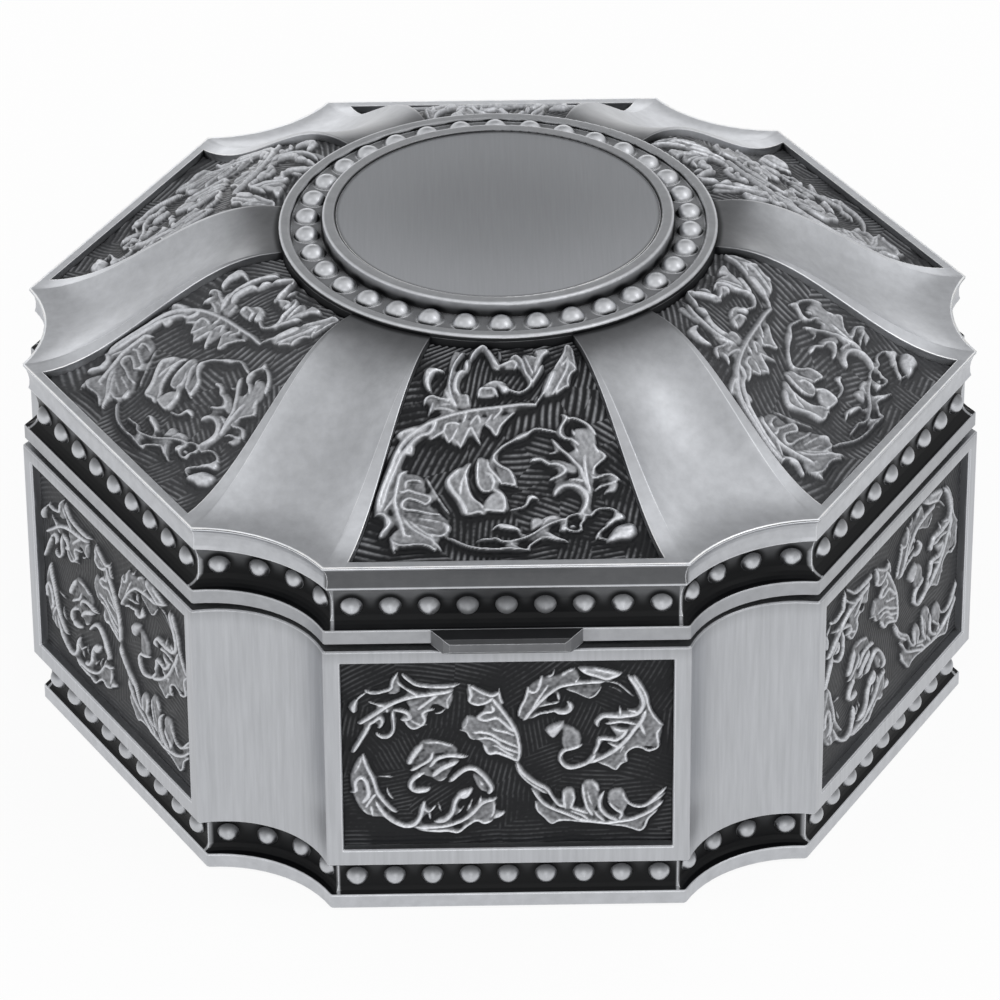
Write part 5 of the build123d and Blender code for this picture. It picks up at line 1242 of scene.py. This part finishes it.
def carveBody(field, x, y, height, run, points):
    # a leaf's own mass: soft at its edge, with shallow veins, or a round bud
    line = smoothPath(points, closed=True, step=0.4)
    low, high = line.min(0), line.max(0)
    near = (x > low[0]) & (x < high[0]) & (y > low[1]) & (y < high[1])
    if not near.any():
        return
    px, py = x[near], y[near]
    inside = np.zeros(px.shape, bool)
    away = np.full(px.shape, 9.0)
    for a, b in zip(line, np.roll(line, -1, axis=0)):
        crosses = (a[1] > py) != (b[1] > py)
        with np.errstate(divide="ignore", invalid="ignore"):
            inside ^= crosses & (px < (b[0] - a[0]) * (py - a[1]) / (b[1] - a[1]) + a[0])
        dx, dy = b - a
        t = np.clip(((px - a[0]) * dx + (py - a[1]) * dy) / (dx * dx + dy * dy + 1e-12), 0, 1)
        away = np.minimum(away, np.hypot(px - a[0] - t * dx, py - a[1] - t * dy))
    share = np.clip(away / run, 0, 1)
    rise = height * np.sqrt(1 - (1 - share) ** 2)
    if height < 0.7:
        centre = line - line.mean(0)
        along = np.linalg.svd(centre, full_matrices=False)[2][0]
        across = -px * along[1] + py * along[0]
        rise = rise * (0.95 + 0.05 * np.cos(across * 2 * math.pi / 0.6 + 0.8 * np.sin(px * 1.3 + py)))
    rise[~inside] = 0
    field[near] = np.maximum(field[near], rise)


def hatchGround(x, y, marks, depth):
    # graver strokes on the ground, each patch in its own direction
    best = np.full(x.shape, 1e9)
    strokes = np.zeros(x.shape)
    for (cx, cy), degrees, pitch in marks:
        d = (x - cx) ** 2 + (y - cy) ** 2
        nearer = d < best
        turn = math.radians(degrees)
        across = -(x - cx) * math.sin(turn) + (y - cy) * math.cos(turn)
        along = (x - cx) * math.cos(turn) + (y - cy) * math.sin(turn)
        wave = 0.5 + 0.5 * np.cos(2 * math.pi * across / pitch + 0.7 * np.sin(along * 0.9 + cx))
        strokes[nearer] = wave[nearer]
        best[nearer] = d[nearer]
    return depth * strokes ** 1.5


def blur(field, cells):
    reach = int(cells * 3) + 1
    k = np.exp(-0.5 * (np.arange(-reach, reach + 1) / cells) ** 2)
    k /= k.sum()
    wide = np.pad(field, reach, mode="edge")
    wide = np.apply_along_axis(lambda row: np.convolve(row, k, mode="valid"), 1, wide)
    return np.apply_along_axis(lambda row: np.convolve(row, k, mode="valid"), 0, wide)


def smoothStep(value, low, high):
    share = np.clip((value - low) / (high - low), 0, 1)
    return share * share * (3 - 2 * share)


def carve(design, x, y, look, cell):
    # the whole design as heights from 0 at the ground to 1, and how bare each place is rubbed, with painted
    # shadow and shade laid in
    strands = np.zeros(x.shape)
    for width, height, *points in design["ridges"]:
        carveRidge(strands, x, y, height, width * look["strandShare"], points)
    leaves = np.zeros(x.shape)
    for height, run, *points in design["bodies"]:
        carveBody(leaves, x, y, height, run, points)
    seeded = np.random.default_rng(carving["seed"])
    grain = blur(seeded.normal(size=x.shape), carving["grainBlur"] / cell)
    patch = blur(seeded.normal(size=x.shape), carving["patchBlur"] / cell)
    grain /= grain.std()
    patch /= patch.std()
    between = blur((strands > carving["webFrom"]).astype(float), carving["webBlur"] / cell)
    web = carving["webHeight"] * smoothStep(between, *carving["webEdge"])
    mass = np.maximum(leaves, web)
    form = np.maximum(mass, strands)
    hatch = hatchGround(x, y, design["hatch"], 1.0)
    field = blur(np.maximum(hatch * look["hatchDepth"], form), carving["softness"] / cell)
    field = field + carving["grainDepth"] * grain * (0.4 + mass)
    most = carving["standMost"]
    stand = field - blur(field, carving["standBlur"] / cell)
    stand = np.clip(carving["standGain"] * stand, -most, most)
    # wash at the foot of each form, and a painted shadow on its lower side
    cover = blur((form > carving["washShadowFrom"]).astype(float), carving["washShadowBlur"] / cell)
    drop = int(carving["shadowDrop"] / cell)
    lower = np.vstack([cover[drop:], np.zeros((drop, x.shape[1]))])
    washAndShadow = np.clip(carving["washShadowGain"] * np.maximum(lower, carving["washShadowAbove"] * cover), 0, 1)
    patchy = np.clip(0.85 + 0.2 * grain + 0.5 * patch, 0.12, 1.6)
    ground = look["hatchTone"] * hatch ** 1.6 * patchy * (1 - washAndShadow)
    leafTone = np.clip(look["leafTone"] * mass + 1.1 * stand + 0.03 * grain, 0, 1)
    leafTone = leafTone * smoothStep(mass, *carving["leafEdge"])
    strandTone = carving["strandTone"] * smoothStep(strands + 0.04 * grain, *carving["strandEdge"])
    # painted shade: the lower flank of each form is darker
    downhill = np.gradient(blur(form, carving["lowerShadeBlur"] / cell), cell, axis=0)
    kept = 1 - carving["lowerShadeLoss"] * smoothStep(downhill, *carving["lowerShadeEdge"])
    wornAndShaded = np.maximum(np.maximum(leafTone, strandTone) * kept, ground)
    return np.clip(field, 0, 1.1), np.clip(wornAndShaded, 0.01, 1)


def newGrid(name, columns, rows):
    bpy.ops.object.select_all(action="DESELECT")
    bpy.ops.mesh.primitive_grid_add(x_subdivisions=columns, y_subdivisions=rows, size=2, location=(0, 0, 0))
    piece = bpy.context.object
    piece.name = name
    n = (columns + 1) * (rows + 1)
    flat = np.zeros(n * 3)
    piece.data.vertices.foreach_get("co", flat)
    return piece, flat.reshape(-1, 3)


def setShape(piece, places, wornAndShaded):
    piece.data.vertices.foreach_set("co", places.astype(np.float32).ravel())
    wearAndShade = piece.data.attributes.new("wearAndShade", "FLOAT", "POINT")
    wearAndShade.data.foreach_set("value", wornAndShaded.astype(np.float32).ravel())
    piece.data.update()


def wallDown(piece, backPlace):
    # the plate's edge: the rim of the carved face is drawn back to where backPlace puts it
    count = len(piece.data.vertices)
    bpy.ops.object.mode_set(mode="EDIT")
    bpy.ops.mesh.select_all(action="DESELECT")
    bpy.ops.mesh.select_mode(type="EDGE")
    bpy.ops.mesh.select_non_manifold()
    bpy.ops.mesh.extrude_region_move()
    bpy.ops.object.mode_set(mode="OBJECT")
    for vertex in piece.data.vertices[count:]:
        vertex.co = backPlace(vertex.co)


def closeBack():
    bpy.ops.object.mode_set(mode="EDIT")
    bpy.ops.mesh.select_mode(type="EDGE")
    bpy.ops.mesh.select_all(action="SELECT")
    bpy.ops.mesh.fill_holes(sides=0)
    bpy.ops.mesh.select_all(action="SELECT")
    bpy.ops.mesh.normals_make_consistent(inside=False)
    bpy.ops.object.mode_set(mode="OBJECT")
    bpy.ops.object.shade_smooth_by_angle(angle=math.radians(carving["smoothAngle"]))


def makeSideRelief(panel, design):
    piece, flat = newGrid("carvedSide", panel["columns"], panel["rows"])
    x = flat[:, 0] * panel["halfWidth"]
    z = flat[:, 1] * panel["halfHeight"]
    shape = (panel["rows"] + 1, panel["columns"] + 1)
    field, wornAndShaded = carve(design, (x / mm).reshape(shape), (z / mm).reshape(shape), panel,
                        2 * panel["halfWidth"] / mm / panel["columns"])
    out = panel["ground"] + field.ravel() * panel["carve"]
    setShape(piece, np.column_stack([x, -out, z + panel["middle"]]), wornAndShaded)
    wallDown(piece, lambda p: Vector((p.x, -panel["back"], p.z)))
    closeBack()
    return piece


def sweep(panel, apothem):
    share = (panel["domeFoot"] - apothem) / (panel["domeFoot"] - panel["domeHead"])
    return panel["sweepStart"] + panel["sweepRise"] * (1 - np.cos(math.pi * share)) / 2


def slope(panel, apothem):
    run = panel["domeFoot"] - panel["domeHead"]
    share = (panel["domeFoot"] - apothem) / run
    return np.arctan(panel["sweepRise"] * math.pi * np.sin(math.pi * share) / 2 / run)


def makeLidRelief(panel, design):
    # the carved face follows the lid's sweep, so its rows are spaced along that curve
    piece, flat = newGrid("carvedLid", panel["columns"], panel["rows"])
    u, v = flat[:, 0], (flat[:, 1] + 1) / 2
    taper = (panel["footWidth"] - panel["headWidth"]) / (panel["foot"] - panel["headApothem"])
    apothem = panel["foot"] - v * (panel["foot"] - panel["headApothem"])
    for _ in range(4):
        half = panel["headWidth"] + taper * (apothem - panel["headApothem"])
        head = np.sqrt(panel["headRadius"] ** 2 - (u * (panel["headWidth"] + taper * panel["headEase"])) ** 2)
        apothem = panel["foot"] - v * (panel["foot"] - head)
    x = u * half
    # arc length up the sweep, from the window's foot
    steps = np.linspace(0, panel["domeFoot"], panel["sweepSteps"])
    rise = sweep(panel, steps)
    length = np.concatenate([[0], np.cumsum(np.hypot(np.diff(steps), np.diff(rise)))])
    along = np.interp(panel["lengthFrom"], steps, length) - np.interp(apothem, steps, length)
    shape = (panel["rows"] + 1, panel["columns"] + 1)
    field, wornAndShaded = carve(design, (x / mm).reshape(shape), (along / mm).reshape(shape), panel, panel["cell"])
    tilt = slope(panel, apothem)
    lift = field.ravel() * panel["carve"] * np.cos(tilt)
    out = apothem + lift * np.sin(tilt)
    high = sweep(panel, apothem) - panel["ground"] + lift * np.cos(tilt)
    setShape(piece, np.column_stack([x, -out, high]), wornAndShaded)
    base = np.column_stack([x, -apothem, sweep(panel, apothem) - panel["back"]])
    count = len(piece.data.vertices)
    rows, columns = panel["rows"], panel["columns"]
    # the back places of the rim, in the order that the wall is drawn
    key = {}
    for i, place in enumerate(np.column_stack([x, -out, high])):
        r, c = divmod(i, columns + 1)
        if r in (0, rows) or c in (0, columns):
            key[tuple(np.float32(place))] = base[i]
    wallDown(piece, lambda p: Vector(key[tuple(np.float32(p[k]) for k in range(3))]))
    head, foot = panel["domeHead"] + panel["headClear"], panel["foot"] - panel["footClear"]
    sides = [v for v in piece.data.vertices[count:] if head < -v.co.y < foot]
    keep = set()
    for vertex in sides:
        edge = panel["headWidth"] + taper * (-vertex.co.y - panel["headApothem"])
        if abs(abs(vertex.co.x) - edge) < panel["nearEdge"]:
            keep.add(vertex.index)
    for part in (piece.data.vertices, piece.data.edges, piece.data.polygons):
        for item in part:
            item.select = False
    for edge in piece.data.edges:
        a, b = edge.vertices
        if a in keep and b in keep:
            edge.select = True
    bpy.ops.object.mode_set(mode="EDIT")
    bpy.ops.mesh.select_mode(type="EDGE")
    bpy.ops.mesh.bridge_edge_loops()
    bpy.ops.object.mode_set(mode="OBJECT")
    closeBack()
    return piece


def spreadRound(first, nodeName, body, paintedSideLight):
    # the carved panel once for each of the six sides, each with its own mesh: all but the front one have a
    # lighter ground and duller high places, painted light for the sides turned from the front
    pieces = [first]
    for k in range(1, 6):
        piece = first.copy()
        piece.data = first.data.copy()
        bpy.context.scene.collection.objects.link(piece)
        piece.data.transform(Matrix.Rotation(math.radians(60 * k), 4, "Z"))
        wearAndShade = piece.data.attributes["wearAndShade"].data
        level = np.zeros(len(wearAndShade))
        wearAndShade.foreach_get("value", level)
        wearAndShade.foreach_set("value", (paintedSideLight[0] + paintedSideLight[1] * level).astype(np.float32))
        pieces.append(piece)
    for k, piece in enumerate(pieces):
        piece.name = nodeName.replace("_relief_", "Carving") + str(k + 1)
        piece.data.name = piece.name
        piece.data.materials.clear()
        piece.data.materials.append(reliefMetal)
        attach(piece, body)
        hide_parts(nodeName + str(k + 1))


spreadRound(makeSideRelief(sidePanel, sideDesign), "side_relief_", "box", (0.03, 0.84))
print("side panels carved")
spreadRound(makeLidRelief(lidPanel, lidDesign), "lid_relief_", "lid", (0.055, 0.84))
print("lid panels carved")


# soft linings
padMaking = {
    "workScale": 10,           # the cloth runs at ten times life size
    "startInset": 0.45 * mm,
    "startHeight": 0.86,
    "pressure": 4,
    "frames": 20,
    "voxel": 0.95 * mm,
    "swell": 1.3 * mm,         # most that a point may rise, in the middle
    "edgeShare": 0.3,          # and the share of it left by the edge
    "edgeRun": 13 * mm,
}
pads = (
    # CAD node, piece, body, which way its open face looks, how full
    ("floor_pad", "floorPad", "box", 1, 0.5),
    ("lid_lining", "lidPad", "lid", -1, 0.4),
)
liners = (
    # CAD node, piece, material, slot, how far its edges are rounded
    ("wall_lining", "wallLiner", velvet, "velvet", 0.3 * mm),
    ("base_felt", "baseFelt", felt, "felt", 0.25 * mm),
)
linerEdge = {"segments": 3, "angle": math.radians(50)}


def looseCopy(nodeName, name):
    # a piece of its own from a node's mesh, merged into whole faces
    bpy.ops.object.select_all(action="DESELECT")
    piece = bpy.data.objects.new(name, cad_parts[nodeName].data.copy())
    piece.data.name = name
    bpy.context.scene.collection.objects.link(piece)
    bpy.context.view_layer.objects.active = piece
    piece.select_set(True)
    bpy.ops.object.mode_set(mode="EDIT")
    bpy.ops.mesh.select_all(action="SELECT")
    bpy.ops.mesh.remove_doubles(threshold=0.000002)
    bpy.ops.mesh.dissolve_limited(angle_limit=math.radians(1))
    bpy.ops.mesh.normals_make_consistent(inside=False)
    bpy.ops.object.mode_set(mode="OBJECT")
    return piece


def meshPlaces(piece):
    flat = np.zeros(len(piece.data.vertices) * 3)
    piece.data.vertices.foreach_get("co", flat)
    return flat.reshape(-1, 3)


def movePlaces(piece, places):
    piece.data.vertices.foreach_set("co", places.astype(np.float32).ravel())
    piece.data.update()


def finishSoft(piece, nodeName, body, material):
    piece.data.materials.clear()
    piece.data.materials.append(material)
    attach(piece, body)
    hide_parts(nodeName)


def puffPad(nodeName, name, body, face, fill):
    low, high = (np.array(corner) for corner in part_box(nodeName))
    piece = looseCopy(nodeName, name)
    scale, inset = padMaking["workScale"], padMaking["startInset"]
    places = meshPlaces(piece)
    apothem = high[1]
    places[:, :2] *= (apothem - inset) / apothem
    rest = low[2] if face > 0 else high[2]
    places[:, 2] = rest + (places[:, 2] - rest) * padMaking["startHeight"]
    movePlaces(piece, places * scale)
    remesh = piece.modifiers.new("remesh", "REMESH")
    remesh.mode = "VOXEL"
    remesh.voxel_size = padMaking["voxel"] * scale
    bpy.ops.object.modifier_apply(modifier=remesh.name)
    start = meshPlaces(piece) / scale
    cloth = piece.modifiers.new("cloth", "CLOTH")
    cloth.settings.use_pressure = True
    cloth.settings.uniform_pressure_force = padMaking["pressure"]
    cloth.settings.effector_weights.gravity = 0
    scene = bpy.context.scene
    for step in range(1, padMaking["frames"] + 1):
        scene.frame_set(step)
    bpy.ops.object.modifier_apply(modifier=cloth.name)
    scene.frame_set(1)
    swollen = meshPlaces(piece) / scale
    # the swelling is eased in towards the edge, and the back stays flat on what carries it
    turn = np.arctan2(start[:, 1], start[:, 0])
    spoke = np.abs((turn + math.radians(15)) % math.radians(30) - math.radians(15))
    edge = apothem - np.hypot(start[:, 0], start[:, 1]) * np.cos(spoke)
    share = padMaking["edgeShare"] + (1 - padMaking["edgeShare"]) * smoothStep(edge, 0, padMaking["edgeRun"])
    moved = swollen - start
    far = np.linalg.norm(moved, axis=1) + 1e-12
    kept = np.minimum(far, padMaking["swell"] * share)
    placed = start + moved * (kept / far)[:, None]
    out = np.hypot(placed[:, 0], placed[:, 1]) * np.cos(spoke)
    placed[:, :2] *= np.minimum(1, (apothem + 0.05 * mm) / np.maximum(out, 1e-9))[:, None]
    placed[:, 2] = np.maximum(placed[:, 2], rest) if face > 0 else np.minimum(placed[:, 2], rest)
    movePlaces(piece, placed)
    print(name, "rose by", round(float(kept.max() / mm), 2), "mm")
    finer = piece.modifiers.new("subdivision", "SUBSURF")
    finer.levels = 1
    finer.render_levels = 1
    bpy.ops.object.modifier_apply(modifier=finer.name)
    bpy.ops.object.shade_smooth()
    finishSoft(piece, nodeName, body, velvet)


def roundLiner(nodeName, name, material, slotName, radius):
    piece = looseCopy(nodeName, name)
    bevel = piece.modifiers.new("bevel", "BEVEL")
    bevel.width = radius
    bevel.segments = linerEdge["segments"]
    bevel.limit_method = "ANGLE"
    bevel.angle_limit = linerEdge["angle"]
    bpy.ops.object.modifier_apply(modifier=bevel.name)
    bpy.ops.object.shade_smooth_by_angle(angle=linerEdge["angle"])
    finishSoft(piece, nodeName, "box", material)


for pad in pads:
    puffPad(*pad)
for liner in liners:
    roundLiner(*liner)
print("linings made")

scene = bpy.context.scene
scene.view_settings.view_transform = "Standard"
